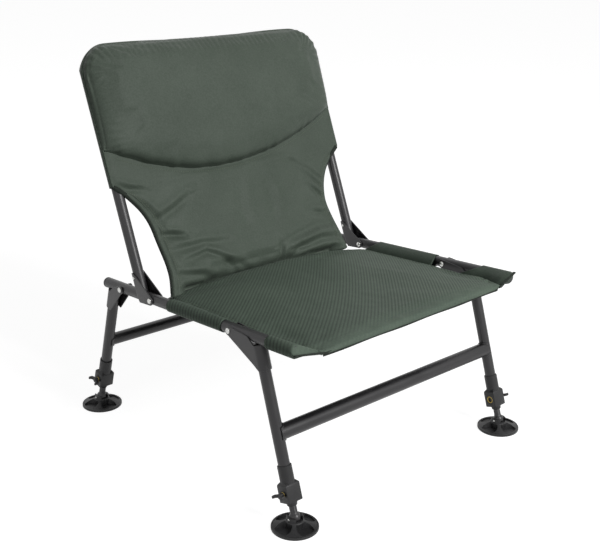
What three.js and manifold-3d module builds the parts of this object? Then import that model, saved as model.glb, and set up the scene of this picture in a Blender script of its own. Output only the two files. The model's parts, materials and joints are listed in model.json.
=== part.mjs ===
// Low folding fishing chair. Two straight seat rails carry everything: leg frames that fold under the seat,
// a back frame that folds down on it, padded cloth, and four telescopic feet on swivel pads.
// Millimetres, +Z up, the sitter faces -Y. Left is -X, as seen by someone who looks at the chair's front.
import * as THREE from 'three';
import { mergeVertices } from 'three/addons/utils/BufferGeometryUtils.js';
import Module from 'manifold-3d';

const wasm = await Module();
wasm.setup();

// Driving dimensions of the frame
const railSpacing = 500;
const railLength = 513;
const railRearHeight = 264;
const railDiameter = 19;
const railWall = 1.5;
const legDiameter = 19;
const legWall = 1.5;
const postDiameter = 19;
const postWall = 1.5;
const frontStretcherDiameter = 25;
const rearStretcherDiameter = 22;
const stretcherWall = 1.5;
const railSlope = THREE.MathUtils.degToRad(3.4);
const frontLegLean = THREE.MathUtils.degToRad(17.4);
const rearLegLean = THREE.MathUtils.degToRad(17.1);
const backRecline = THREE.MathUtils.degToRad(21.7);

// Stations along the rail, from its rear end; the front ones keep their distance to its front end
const rearLegStation = 23;
const rearPivotStation = 55.5;
const postStation = 116.5;
const backPivotStation = 150.5;
const frontPivotInset = 143.5;
const frontLegInset = 84;
const frontPivotStation = railLength - frontPivotInset;
const frontLegStation = railLength - frontLegInset;

// Heights of the stretchers' axes, and the back frame
const frontStretcherHeight = 146;
const rearStretcherHeight = 146.5;
const backFrameHeight = 425;
const backBendRadius = 52;

// Running clearance between pieces that touch, the overrun of every cutter, and how near two points are one
const clearance = 0.3;
const overrun = 5;
const weldTolerance = 0.0001;

// Pressed steel brackets and rivets
const bracketWall = 2;
const lobeRadius = 8;
const frontFerruleLength = 40;
const frontWallDrop = 30;
const rearFerruleLength = 37;
const backFerruleTop = 43;
const backFerruleLength = 19;
const rivetShankDiameter = 6;
const rivetHeadDiameter = 9.5;
const rivetHeadHeight = 2.4;
const fixingRivetDiameter = 3;
const fixingHeadDiameter = 5;
const fixingHeadHeight = 1.2;
// Where the round of each bracket's lobe starts and ends, in degrees from the rear
const frontLobeArc = [-70, 105];
const rearLobeArc = [75, 245];
const backLobeArc = [150, 290];
// Where the shoulder of a dome lies, as a share of its radius and of its height
const domeShare = Math.SQRT1_2;

// Plugs in the rails' ends
const plugDepth = 14;
const plugHeadLength = 3;
const plugDome = 2.5;

// Leg clamp with its wing screw
const collarWall = 1.7;
const collarLength = 25;
const blockWidth = 28;
const blockDepth = 23;
const blockHeight = 33;
const blockChamfer = 5;
const noseLength = 6.5;
const noseDiameter = 18;
const noseBevel = 1;
const frontNoseGap = 20;
const rearNoseGap = 25;
const screwDiameter = 6;
const screwHubDiameter = 10;
const screwHubLength = 5;
const wingSpan = 25;
const wingLength = 13;
const wingThickness = 4.5;
const wingNotch = 5;
const insertDiameter = 10;
const insertLength = 6;

// Telescopic lower leg and swivel foot
const rodDiameter = 12;
const rodWall = 1.5;
const rodLength = 200;
const ballDiameter = 19;
const pinHeight = 18;
const pinDiameter = 4;
const footDiameter = 75;
const footRimHeight = 5;
const footRimWidth = 3;
const footRimBevel = 1;
const footFloor = 3;
const hubDiameter = 26.5;
const hubHeight = 21.5;
const hubShoulder = 13;
const wellDiameter = 25;
const wellReach = 25.4;
const slotWidth = 14.5;
const slotDrop = 2;
const ballClearance = 0.8;
const mouthClearance = 1.2;

// Seat cloth: sleeves on the rails and the padded panel between them
const sleeveWall = 2.2;
const sleeveHem = 4;
const rearSleeveStart = 201;
const rearSleevePivotGap = 19.5;
const frontSleeveInset = 55;
const frontSleeveOverhang = 8;
const rearSleeveEnd = frontPivotStation - rearSleevePivotGap;
const frontSleeveStart = railLength - frontSleeveInset;
const frontSleeveEnd = railLength + frontSleeveOverhang;
const seatSeamInset = 28;
const seatPanelWidth = railSpacing - 2 * seatSeamInset;
const seatPanelRear = 117;
const seatPanelOverhang = 16;
const seatPanelFront = railLength + seatPanelOverhang;
const seatThickness = 17;
const seatEdgeThickness = 6;
const seatEdgeDrop = 3;
const seatSag = 8;
const seatRollDrop = 5;
const seatRollLength = 34;
const seatRearDrop = 13;
const seatRearLength = 50;
const seatDrawIn = 4;
// How steeply the padding falls off towards the side seams and the ends
const seatSideExponent = 6;
const seatEndExponent = 0.5;
const seatEndRise = 4;

// Back cloth: thick head cushion over a thinner panel with drawn-in sides, and a rear cover
const coverOverhang = 15;
const coverHalfWidth = railSpacing / 2 + coverOverhang;
const coverTop = 438;
const coverCornerRadius = 58;
const seamEdgeHeight = 264;
const seamCentreHeight = 187;
const headCrown = 44;
const headEdge = 12.5;
const coverRearDepth = 13;
const coverRearEdge = 11.5;
const pocketBottom = 193;
const panelWaistHalfWidth = 202;
const panelHipHalfWidth = 214;
const panelWaistHeight = 60;
const panelBottom = -10;
const panelFrontDepth = 14;
const panelEdgeDepth = 7;
const panelBackDepth = 1.5;
const panelPocketDepth = 12.5;
const pocketBlend = 39;
const waistExponent = 3.2;
const hipExponent = 2;
const headSideExponent = 0.45;
const headEndExponent = 0.55;
const panelSideExponent = 0.35;
const coverEdgeRise = 6;
// How much of the columns' spacing follows a sine, which packs them towards the round corners
const packedShare = 0.5;

// Facet counts
const tubeSides = 16;
const smallSides = 8;
const ballSides = 12;
const footSides = 24;
const lobeSides = 6;
const bendSteps = 5;
const seatColumns = 16;
const seatRows = 16;
const backColumns = 18;
const headRows = 9;
const coverRows = 5;
const panelRows = 15;

const railRadius = railDiameter / 2;
const legRadius = legDiameter / 2;
const postRadius = postDiameter / 2;
const rodRadius = rodDiameter / 2;
const halfSpacing = railSpacing / 2;
const sides = [{ side: -1, name: 'left' }, { side: 1, name: 'right' }];

const steel = { color: 0x232225, roughness: 0.42, metalness: 0.55 };
const plastic = { color: 0x1f1f21, roughness: 0.6, metalness: 0 };
const zinc = { color: 0xc9c9c6, roughness: 0.3, metalness: 0.9 };
const brass = { color: 0x9a7b3a, roughness: 0.35, metalness: 0.9 };
const cloth = { color: 0x566158, roughness: 0.9, metalness: 0 };
const plainCloth = { color: 0x4f5b52, roughness: 0.85, metalness: 0 };

function mesh(name, geometry, look) {
  const part = new THREE.Mesh(geometry, new THREE.MeshStandardMaterial(look));
  part.name = name;
  return part;
}

function solidOf(geometry) {
  const bare = geometry.clone();
  bare.deleteAttribute('normal');
  bare.deleteAttribute('uv');
  const merged = mergeVertices(bare, weldTolerance);
  const vertProperties = new Float32Array(merged.attributes.position.array);
  const triVerts = new Uint32Array(merged.index.array);
  return new wasm.Manifold(new wasm.Mesh({ numProp: 3, vertProperties, triVerts }));
}

function geometryOf(solid) {
  const { vertProperties, triVerts } = solid.getMesh();
  const geometry = new THREE.BufferGeometry();
  geometry.setAttribute('position', new THREE.BufferAttribute(vertProperties, 3));
  geometry.setIndex(new THREE.BufferAttribute(triVerts, 1));
  geometry.computeVertexNormals();
  return geometry;
}

// A first geometry with others joined to it, then others cut away from it
function carve(base, joined, cut) {
  let solid = solidOf(base);
  for (const geometry of joined) solid = solid.add(solidOf(geometry));
  for (const geometry of cut) solid = solid.subtract(solidOf(geometry));
  return geometryOf(solid);
}

// Round bar along Z, between two heights
function bar(radius, low, high, facets = tubeSides) {
  const geometry = new THREE.CylinderGeometry(radius, radius, high - low, facets);
  geometry.rotateX(Math.PI / 2);
  geometry.translate(0, 0, (low + high) / 2);
  return geometry;
}

// Round bar along X, centred on x = 0
function crossBar(radius, length, y, z, facets = tubeSides) {
  const geometry = bar(radius, -length / 2, length / 2, facets);
  geometry.rotateY(Math.PI / 2);
  geometry.translate(0, y, z);
  return geometry;
}

function block(x0, x1, y0, y1, z0, z1) {
  const geometry = new THREE.BoxGeometry(x1 - x0, y1 - y0, z1 - z0);
  geometry.translate((x0 + x1) / 2, (y0 + y1) / 2, (z0 + z1) / 2);
  return geometry;
}

// Profile of radius and height pairs, turned about Z
function turned(points, facets = tubeSides) {
  const geometry = new THREE.LatheGeometry(points.map(([r, z]) => new THREE.Vector2(r, z)), facets);
  geometry.rotateX(Math.PI / 2);
  return geometry;
}

// Outline in the side view (y, z), as wide as asked along X and centred on x = 0
function sidePlate(points, width) {
  const shape = new THREE.Shape(points.map(([y, z]) => new THREE.Vector2(y, z)));
  const geometry = new THREE.ExtrudeGeometry(shape, { depth: width, bevelEnabled: false });
  geometry.translate(0, 0, -width / 2);
  const toSide = new THREE.Matrix4().makeBasis(
    new THREE.Vector3(0, 1, 0), new THREE.Vector3(0, 0, 1), new THREE.Vector3(1, 0, 0));
  return geometry.applyMatrix4(toSide);
}

// Points of an arc in the side view, from one angle to another in degrees
function arcPoints(centre, radius, [startDeg, endDeg], steps = lobeSides) {
  return Array.from({ length: steps + 1 }, (_, i) => {
    const angle = THREE.MathUtils.degToRad(startDeg + (endDeg - startDeg) * i / steps);
    return [centre[0] + radius * Math.cos(angle), centre[1] + radius * Math.sin(angle)];
  });
}

// Closed soft form between two grids of points: front(u, w) and back(u, w), u from -1 to 1 and w from 0 to 1.
// Faces point out when u x w points from back to front.
function softForm(columns, rows, front, back) {
  const positions = [];
  const index = [];
  const at = (layer, i, j) => layer * (columns + 1) * (rows + 1) + j * (columns + 1) + i;
  for (const surface of [front, back]) {
    for (let j = 0; j <= rows; j++) {
      for (let i = 0; i <= columns; i++) {
        positions.push(...surface(2 * i / columns - 1, j / rows));
      }
    }
  }
  const quad = (a, b, c, d) => index.push(a, b, c, a, c, d);
  for (let j = 0; j < rows; j++) {
    for (let i = 0; i < columns; i++) {
      quad(at(0, i, j), at(0, i + 1, j), at(0, i + 1, j + 1), at(0, i, j + 1));
      quad(at(1, i, j), at(1, i, j + 1), at(1, i + 1, j + 1), at(1, i + 1, j));
    }
  }
  for (let i = 0; i < columns; i++) {
    quad(at(0, i, 0), at(1, i, 0), at(1, i + 1, 0), at(0, i + 1, 0));
    quad(at(0, i, rows), at(0, i + 1, rows), at(1, i + 1, rows), at(1, i, rows));
  }
  for (let j = 0; j < rows; j++) {
    quad(at(0, 0, j), at(0, 0, j + 1), at(1, 0, j + 1), at(1, 0, j));
    quad(at(0, columns, j), at(1, columns, j), at(1, columns, j + 1), at(0, columns, j + 1));
  }
  const geometry = new THREE.BufferGeometry();
  geometry.setAttribute('position', new THREE.Float32BufferAttribute(positions, 3));
  geometry.setIndex(index);
  geometry.computeVertexNormals();
  return geometry;
}

// A path that is sampled only at its own points, so that straight runs cost no facets
class PointPath extends THREE.Curve {
  constructor(points) {
    super();
    this.points = points;
  }
  getPoint(t) {
    const place = t * (this.points.length - 1);
    const i = Math.min(Math.floor(place), this.points.length - 2);
    return this.points[i].clone().lerp(this.points[i + 1], place - i);
  }
  getSpacedPoints(divisions) {
    return this.getPoints(divisions);
  }
  getTangentAt(u) {
    const last = this.points.length - 1;
    const i = Math.round(u * last);
    const before = this.points[Math.max(i - 1, 0)];
    const after = this.points[Math.min(i + 1, last)];
    const here = this.points[i];
    const incoming = here.clone().sub(before).normalize();
    const outgoing = after.clone().sub(here).normalize();
    return incoming.add(outgoing).normalize();
  }
}

function ringShape(outer, inner) {
  const shape = new THREE.Shape();
  shape.absarc(0, 0, outer, 0, 2 * Math.PI, false);
  if (inner > 0) {
    const hole = new THREE.Path();
    hole.absarc(0, 0, inner, 0, 2 * Math.PI, true);
    shape.holes.push(hole);
  }
  return shape;
}

// Hollow tube along Z between two heights
function hollowTube(outer, wall, low, high, facets = tubeSides) {
  const geometry = new THREE.ExtrudeGeometry(ringShape(outer, outer - wall),
    { depth: high - low, bevelEnabled: false, curveSegments: facets / 2 });
  geometry.translate(0, 0, low);
  return geometry;
}

// Where a station of the rail lies in the chair's side view
function railPoint(station) {
  return { y: -station * Math.cos(railSlope), z: railRearHeight + station * Math.sin(railSlope) };
}

// Group at a station of the rail, with its Z leaning by an angle towards the rear
function leaningGroup(station, lean) {
  const group = new THREE.Group();
  const { y, z } = railPoint(station);
  group.position.set(0, y, z);
  group.rotation.x = -lean;
  return group;
}

// A station of the rail in the side view of a leaning group that starts at another station
function stationIn(group, station) {
  const point = railPoint(station);
  const offset = new THREE.Vector3(0, point.y - group.position.y, point.z - group.position.z);
  offset.applyAxisAngle(new THREE.Vector3(1, 0, 0), -group.rotation.x);
  return [offset.y, offset.z];
}

// The rail as a cutter in a leaning group, wider than the rail by the clearance
function railCutter(group) {
  const cutter = bar(railRadius + clearance, -railLength, railLength);
  cutter.rotateX(Math.PI / 2 - railSlope - group.rotation.x);
  return cutter;
}

const chair = new THREE.Group();
chair.name = 'carp_fishing_chair';

const seatGroup = new THREE.Group();
seatGroup.position.z = railRearHeight;
seatGroup.rotation.x = -railSlope;
chair.add(seatGroup);
const backGroup = leaningGroup(postStation, backRecline);
const frontLegGroup = leaningGroup(frontLegStation, frontLegLean);
const rearLegGroup = leaningGroup(rearLegStation, -rearLegLean);
chair.add(backGroup, frontLegGroup, rearLegGroup);

// Seat rails with a rivet hole at each pivot, and a plug in each end
const rivetHoleRadius = rivetShankDiameter / 2 + clearance;
const pivotStations = { rear_leg: rearPivotStation, back: backPivotStation, front_leg: frontPivotStation };

function seatRail() {
  const tube = hollowTube(railRadius, railWall, 0, railLength);
  tube.rotateX(Math.PI / 2);
  const holes = Object.values(pivotStations).map(
    (station) => crossBar(rivetHoleRadius, railDiameter + overrun, -station, 0, smallSides));
  return carve(tube, [], holes);
}

function railPlug() {
  const shank = railRadius - railWall - clearance;
  const brim = railRadius;
  return turned([
    [0, -plugDepth], [shank, -plugDepth], [shank, clearance], [brim, clearance],
    [brim, plugHeadLength], [brim * domeShare, plugHeadLength + plugDome * domeShare],
    [0, plugHeadLength + plugDome]]);
}

for (const { side, name } of sides) {
  const rail = mesh(`seat_rail_${name}`, seatRail(), steel);
  rail.position.x = side * halfSpacing;
  seatGroup.add(rail);
  const rearPlug = mesh(`rail_rear_plug_${name}`, railPlug(), plastic);
  rearPlug.position.x = side * halfSpacing;
  rearPlug.rotation.x = -Math.PI / 2;
  const frontPlug = mesh(`rail_front_plug_${name}`, railPlug(), plastic);
  frontPlug.position.set(side * halfSpacing, -railLength, 0);
  frontPlug.rotation.x = Math.PI / 2;
  seatGroup.add(rearPlug, frontPlug);
}

// Pressed brackets: a channel that holds the tube's end in a half-round web and straddles the rail
const channelInner = Math.max(legRadius, railRadius, postRadius) + clearance;
const channelOuter = channelInner + bracketWall;

// Rivet along X through both walls of a bracket, domed at both ends
function rivet(shankRadius, headRadius, headHeight, grip) {
  const face = grip / 2 + clearance;
  const profile = [
    [0, -face - headHeight], [headRadius * domeShare, -face - headHeight * domeShare], [headRadius, -face],
    [shankRadius, -face], [shankRadius, face], [headRadius, face],
    [headRadius * domeShare, face + headHeight * domeShare], [0, face + headHeight]];
  const geometry = turned(profile, smallSides);
  geometry.rotateY(Math.PI / 2);
  return geometry;
}

for (const { side, name } of sides) {
  for (const [pivot, station] of Object.entries(pivotStations)) {
    const shape = rivet(rivetShankDiameter / 2, rivetHeadDiameter / 2, rivetHeadHeight, 2 * channelOuter);
    const piece = mesh(`${pivot}_pivot_rivet_${name}`, shape, zinc);
    piece.position.set(side * halfSpacing, -station, 0);
    seatGroup.add(piece);
  }
}

// Channel from an outline of its walls: the web wraps the tube on the side that webSign names
function channel(group, outline, ferruleLow, ferruleHigh, webSign, pivot, extraCuts) {
  const far = railLength;
  const walls = sidePlate(outline, 2 * channelOuter);
  const web = bar(channelOuter, ferruleLow, ferruleHigh);
  const [open0, open1] = webSign > 0 ? [-far, 0] : [0, far];
  const slot = block(-channelInner, channelInner, open0, open1, -far, far);
  const bore = bar(channelInner, -far, far);
  const hole = crossBar(rivetHoleRadius, 2 * channelOuter + overrun, pivot[0], pivot[1], smallSides);
  return carve(walls, [web], [slot, bore, hole, railCutter(group), ...extraCuts]);
}

// Front bracket: the web is in front of the leg and the walls run back to the pivot
function frontBracket() {
  const pivot = stationIn(frontLegGroup, frontPivotStation);
  const top = -channelInner;
  const bottom = top - frontFerruleLength;
  const outline = [
    [0, bottom], [legRadius, top - frontWallDrop], ...arcPoints(pivot, lobeRadius, frontLobeArc),
    [channelOuter, railRadius / 2], [0, top]];
  return channel(frontLegGroup, outline, bottom, top, -1, pivot, []);
}

// Rear bracket: the same, turned round, with its web behind the leg
function rearBracket() {
  const pivot = stationIn(rearLegGroup, rearPivotStation);
  const top = -channelInner;
  const bottom = top - rearFerruleLength;
  const outline = [
    [0, top], [-channelInner, railRadius / 2], ...arcPoints(pivot, lobeRadius, rearLobeArc),
    [-legRadius, bottom], [0, bottom]];
  return channel(rearLegGroup, outline, bottom, top, 1, pivot, []);
}

// Back bracket: the web is behind the post and the walls slant down and forward over the rail
const fixingHeight = backFerruleTop - backFerruleLength / 2;
function backBracket() {
  const pivot = stationIn(backGroup, backPivotStation);
  const bottom = backFerruleTop - backFerruleLength;
  const outline = [
    [0, backFerruleTop], ...arcPoints(pivot, lobeRadius, backLobeArc),
    [0, -railRadius], [channelOuter, bottom], [channelOuter, backFerruleTop]];
  const rearSlot = block(-channelInner, channelInner, 0, railLength, -railLength, bottom);
  const fixing = crossBar(fixingRivetDiameter / 2 + clearance, 2 * channelOuter + overrun, 0, fixingHeight,
    smallSides);
  return channel(backGroup, outline, bottom, backFerruleTop, 1, pivot, [rearSlot, fixing]);
}

// Legs: hollow tubes that end in a saddle under the rail and in the clamp's collar
function legSizes(group, lean, stretcherHeight, noseGap) {
  const toFloor = (height) => -(group.position.z - height) / Math.cos(lean);
  const pin = toFloor(pinHeight);
  const nose = pin + noseGap;
  const blockLow = nose + noseLength;
  const blockHigh = blockLow + blockHeight;
  const screw = (blockLow + blockHigh - blockChamfer) / 2;
  const collarHigh = blockHigh + collarLength;
  return { pin, nose, blockLow, blockHigh, collarHigh, screw, stretcher: toFloor(stretcherHeight) };
}
const frontSizes = legSizes(frontLegGroup, frontLegLean, frontStretcherHeight, frontNoseGap);
const rearSizes = legSizes(rearLegGroup, rearLegLean, rearStretcherHeight, rearNoseGap);

function legTube(group, sizes) {
  const tube = hollowTube(legRadius, legWall, sizes.blockHigh + clearance, 0);
  return carve(tube, [], [railCutter(group)]);
}

// Stretcher between two legs, its ends cut to the legs' round
function stretcher(diameter, sizes) {
  const outer = crossBar(diameter / 2, railSpacing, 0, sizes.stretcher);
  const inner = crossBar(diameter / 2 - stretcherWall, railSpacing + overrun, 0, sizes.stretcher);
  const legs = sides.map(({ side }) => {
    const cutter = bar(legRadius + clearance, sizes.stretcher - diameter, sizes.stretcher + diameter);
    return cutter.translate(side * halfSpacing, 0, 0);
  });
  const ends = sides.map(({ side }) => {
    const low = side * halfSpacing;
    const high = side * (halfSpacing + legDiameter);
    return block(Math.min(low, high), Math.max(low, high), -diameter, diameter,
      sizes.stretcher - diameter, sizes.stretcher + diameter);
  });
  return carve(outer, [], [inner, ...legs, ...ends]);
}

// Clamp: collar round the leg, chamfered block, tapered nose; the rod slides in its bore
const boreRadius = rodRadius + clearance;
const collarBore = legRadius + clearance;
function legClamp(sizes) {
  const { nose, blockLow, blockHigh, collarHigh, screw } = sizes;
  const collar = bar(collarBore + collarWall, blockLow, collarHigh);
  const halfDepth = blockDepth / 2;
  const chamfered = [
    [-halfDepth, blockLow], [halfDepth, blockLow], [halfDepth, blockHigh - blockChamfer],
    [halfDepth - blockChamfer / 2, blockHigh], [blockChamfer / 2 - halfDepth, blockHigh],
    [-halfDepth, blockHigh - blockChamfer]];
  const body = sidePlate(chamfered, blockWidth);
  const taper = turned([[0, nose], [noseDiameter / 2 - noseBevel, nose], [noseDiameter / 2, blockLow],
    [noseDiameter / 2, blockLow + overrun], [0, blockLow + overrun]]);
  const corners = sides.map(({ side }) => {
    const wedge = block(-blockChamfer, blockChamfer, -blockDepth, blockDepth, -blockChamfer, blockChamfer);
    wedge.rotateY(Math.PI / 4);
    return wedge.translate(side * blockWidth / 2, 0, blockHigh);
  });
  const legBore = bar(collarBore, blockHigh, collarHigh + overrun);
  const rodBore = bar(boreRadius, nose - overrun, collarHigh);
  const screwHole = bar(screwDiameter / 2 + clearance, 0, blockWidth, smallSides);
  screwHole.rotateY(Math.PI / 2).translate(0, 0, screw);
  const pocket = bar(insertDiameter / 2 + clearance, blockWidth / 2 - insertLength, blockWidth, smallSides);
  pocket.rotateY(Math.PI / 2).translate(0, 0, screw);
  return carve(body, [collar, taper], [...corners, legBore, rodBore, screwHole, pocket]);
}

// Brass insert in the block's outer face, along +X
function screwInsert() {
  const geometry = hollowTube(insertDiameter / 2, (insertDiameter - screwDiameter) / 2 - clearance, 0,
    insertLength, smallSides);
  geometry.rotateY(Math.PI / 2);
  return geometry.translate(blockWidth / 2 - insertLength + clearance, 0, 0);
}

// Wing screw along +X: a shank to the rod, a hub and two wings
function wingScrew() {
  const seat = blockWidth / 2 + 2 * clearance;
  const shank = bar(screwDiameter / 2, rodRadius + clearance, seat + screwHubLength, smallSides);
  const hub = bar(screwHubDiameter / 2, seat, seat + screwHubLength, smallSides);
  const half = wingSpan / 2;
  const tip = seat + wingLength;
  const waist = seat + wingNotch;
  const root = screwHubDiameter / 2;
  const outline = [
    [-root, seat], [root, seat], [half, waist], [half, tip - wingThickness / 2], [half - wingThickness, tip],
    [root - wingThickness / 2, waist + wingThickness / 2],
    [wingThickness / 2 - root, waist + wingThickness / 2],
    [wingThickness - half, tip], [-half, tip - wingThickness / 2], [-half, waist]];
  const wings = sidePlate(outline, wingThickness);
  const geometry = carve(shank, [hub, wings], []);
  return geometry.rotateY(Math.PI / 2);
}

// Lower leg: hollow rod with a ball at its foot and a hole for the pin
function lowerLeg() {
  const rod = bar(rodRadius, 0, rodLength, ballSides);
  const ball = new THREE.SphereGeometry(ballDiameter / 2, ballSides, ballSides / 2);
  const bore = bar(rodRadius - rodWall, ballDiameter, rodLength + overrun, ballSides);
  const pinHole = crossBar(pinDiameter / 2 + clearance, ballDiameter + overrun, 0, 0, smallSides);
  return carve(rod, [ball], [bore, pinHole]);
}

// Swivel foot: dished disc with four wells and a cup for the ball; its origin is the pin
function swivelFoot() {
  const radius = footDiameter / 2;
  const hub = hubDiameter / 2;
  const rimTop = footRimHeight;
  const body = turned([
    [0, 0], [radius, 0], [radius, rimTop - footRimBevel], [radius - footRimBevel, rimTop],
    [radius - footRimWidth, rimTop], [hub + footRimBevel, hubShoulder], [hub, hubShoulder + footRimBevel],
    [hub, hubHeight - footRimBevel], [hub - footRimBevel, hubHeight], [0, hubHeight]], footSides);
  const wellRing = bar(radius - footRimWidth, footFloor, hubHeight + overrun, footSides);
  const hubGuard = bar(hub, 0, hubHeight + overrun + footFloor, footSides);
  const wells = [0, 1, 2, 3].map((turn) => {
    const well = bar(wellDiameter / 2, footFloor, hubHeight + overrun, ballSides);
    well.translate(wellReach, 0, 0);
    well.rotateZ(turn * Math.PI / 2);
    return geometryOf(solidOf(well).intersect(solidOf(wellRing)).subtract(solidOf(hubGuard)));
  });
  const cup = new THREE.SphereGeometry(ballDiameter / 2 + ballClearance, ballSides, ballSides / 2);
  cup.translate(0, 0, pinHeight);
  const slotLow = pinHeight - slotDrop;
  const slot = block(-slotWidth / 2, slotWidth / 2, -radius, radius, slotLow, hubHeight + overrun);
  const mouth = bar(rodRadius + mouthClearance, pinHeight, hubHeight + overrun);
  const pinHole = crossBar(pinDiameter / 2 + clearance, footDiameter, 0, pinHeight, smallSides);
  const geometry = carve(body, [], [...wells, cup, slot, mouth, pinHole]);
  return geometry.translate(0, 0, -pinHeight);
}

function footPin() {
  return crossBar(pinDiameter / 2, hubDiameter + 2 * clearance, 0, 0, smallSides);
}

function addLegFrame(group, prefix, sizes, stretcherDiameter, bracket) {
  group.add(mesh(`${prefix}_stretcher`, stretcher(stretcherDiameter, sizes), steel));
  for (const { side, name } of sides) {
    const outward = side > 0 ? 0 : Math.PI;
    const leg = mesh(`${prefix}_leg_tube_${name}`, legTube(group, sizes), steel);
    const holder = mesh(`${prefix}_leg_bracket_${name}`, bracket(), steel);
    const clamp = mesh(`${prefix}_leg_clamp_${name}`, legClamp(sizes), plastic);
    const insert = mesh(`${prefix}_screw_insert_${name}`, screwInsert(), brass);
    const screw = mesh(`${prefix}_thumb_screw_${name}`, wingScrew(), plastic);
    const rod = mesh(`${prefix}_lower_leg_${name}`, lowerLeg(), steel);
    const foot = mesh(`${prefix}_foot_${name}`, swivelFoot(), plastic);
    const pin = mesh(`${prefix}_foot_pin_${name}`, footPin(), zinc);
    const column = new THREE.Group();
    column.position.x = side * halfSpacing;
    clamp.rotation.z = outward;
    insert.rotation.z = outward;
    insert.position.z = sizes.screw;
    screw.rotation.z = outward;
    screw.position.z = sizes.screw;
    rod.position.z = sizes.pin;
    const level = new THREE.Group();
    level.position.z = sizes.pin;
    level.rotation.x = -group.rotation.x;
    level.add(foot, pin);
    column.add(leg, holder, clamp, insert, screw, rod, level);
    group.add(column);
  }
}
addLegFrame(frontLegGroup, 'front', frontSizes, frontStretcherDiameter, frontBracket);
addLegFrame(rearLegGroup, 'rear', rearSizes, rearStretcherDiameter, rearBracket);

// Back frame: one tube bent to an inverted U, with a saddle on each rail
function backFramePoints() {
  const points = [new THREE.Vector3(-halfSpacing, 0, 0)];
  const centreX = halfSpacing - backBendRadius;
  const centreZ = backFrameHeight - backBendRadius;
  for (let i = 0; i <= bendSteps; i++) {
    const angle = Math.PI - Math.PI / 2 * i / bendSteps;
    points.push(new THREE.Vector3(
      backBendRadius * Math.cos(angle) - centreX, 0, centreZ + backBendRadius * Math.sin(angle)));
  }
  for (let i = 0; i <= bendSteps; i++) {
    const angle = Math.PI / 2 - Math.PI / 2 * i / bendSteps;
    points.push(new THREE.Vector3(
      centreX + backBendRadius * Math.cos(angle), 0, centreZ + backBendRadius * Math.sin(angle)));
  }
  points.push(new THREE.Vector3(halfSpacing, 0, 0));
  return points;
}

function bentFrame(outer, inner) {
  const points = backFramePoints();
  return new THREE.ExtrudeGeometry(ringShape(outer, inner), {
    steps: points.length - 1, extrudePath: new PointPath(points), bevelEnabled: false,
    curveSegments: tubeSides / 2 });
}

function backFrame() {
  const rails = sides.map(({ side }) => railCutter(backGroup).translate(side * halfSpacing, 0, 0));
  const fixings = sides.map(({ side }) => {
    const hole = crossBar(fixingRivetDiameter / 2 + clearance, 2 * channelOuter, 0, fixingHeight, smallSides);
    return hole.translate(side * halfSpacing, 0, 0);
  });
  return carve(bentFrame(postRadius, postRadius - postWall), [], [...rails, ...fixings]);
}
backGroup.add(mesh('back_frame_tube', backFrame(), steel));
for (const { side, name } of sides) {
  const bracket = mesh(`back_bracket_${name}`, backBracket(), steel);
  bracket.position.x = side * halfSpacing;
  const fixing = mesh(`back_fixing_rivet_${name}`,
    rivet(fixingRivetDiameter / 2, fixingHeadDiameter / 2, fixingHeadHeight, 2 * channelOuter), zinc);
  fixing.position.set(side * halfSpacing, 0, fixingHeight);
  backGroup.add(bracket, fixing);
}

// Sleeves: cloth wrapped round the rail and sewn to the panel's edge
const sleeveOuter = railRadius + clearance + sleeveWall;
const flapReach = seatSeamInset - clearance;
function sleeve(start, end) {
  const hemHalf = sleeveHem / 2;
  const slope = Math.asin((sleeveOuter - hemHalf) / flapReach);
  const shape = new THREE.Shape();
  shape.absarc(0, 0, sleeveOuter, -Math.PI / 2 - slope, Math.PI / 2 + slope, false);
  shape.lineTo(-flapReach, hemHalf - seatEdgeDrop);
  shape.lineTo(-flapReach, -hemHalf - seatEdgeDrop);
  const hole = new THREE.Path();
  hole.absarc(0, 0, railRadius + clearance, 0, 2 * Math.PI, true);
  shape.holes.push(hole);
  const geometry = new THREE.ExtrudeGeometry(shape,
    { depth: end - start, bevelEnabled: false, curveSegments: tubeSides / 2 });
  return geometry.rotateX(Math.PI / 2);
}
for (const { side, name } of sides) {
  for (const [place, start, end] of [
    ['rear', rearSleeveStart, rearSleeveEnd], ['front', frontSleeveStart, frontSleeveEnd]]) {
    const piece = mesh(`seat_sleeve_${place}_${name}`, sleeve(start, end), plainCloth);
    piece.position.set(side * halfSpacing, side > 0 ? -start : -end, 0);
    piece.rotation.z = side > 0 ? 0 : Math.PI;
    seatGroup.add(piece);
  }
}

// Padded seat panel: sags between the seams, with a rolled front edge and a lower rear edge under the back
function seatPanel() {
  const length = seatPanelFront - seatPanelRear;
  const stationAt = (w) => seatPanelRear + length * w;
  const halfAt = (w) => seatPanelWidth / 2 - seatDrawIn * Math.sin(Math.PI * w) ** 2;
  const sideFullness = (u) => 1 - Math.abs(u) ** seatSideExponent;
  const endFullness = (w) => Math.min(1, Math.max(0, Math.sin(Math.PI * w)) * seatEndRise) ** seatEndExponent;
  const heightAt = (u, w) => {
    const toFront = Math.max(0, 1 - (seatPanelFront - stationAt(w)) / seatRollLength);
    const toRear = Math.max(0, 1 - (stationAt(w) - seatPanelRear) / seatRearLength);
    const sag = seatSag * (1 - u * u) * (1 - toRear);
    return -seatEdgeDrop - sag - seatRollDrop * toFront ** 2 - seatRearDrop * toRear;
  };
  const surface = (up) => (u, w) => {
    const padding = (seatThickness - seatEdgeThickness) * sideFullness(u) * endFullness(w);
    const half = (seatEdgeThickness + padding) / 2;
    return [u * halfAt(w), -stationAt(w), heightAt(u, w) + up * half];
  };
  return softForm(seatColumns, seatRows, surface(-1), surface(1));
}
seatGroup.add(mesh('seat_panel', seatPanel(), cloth));

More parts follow.
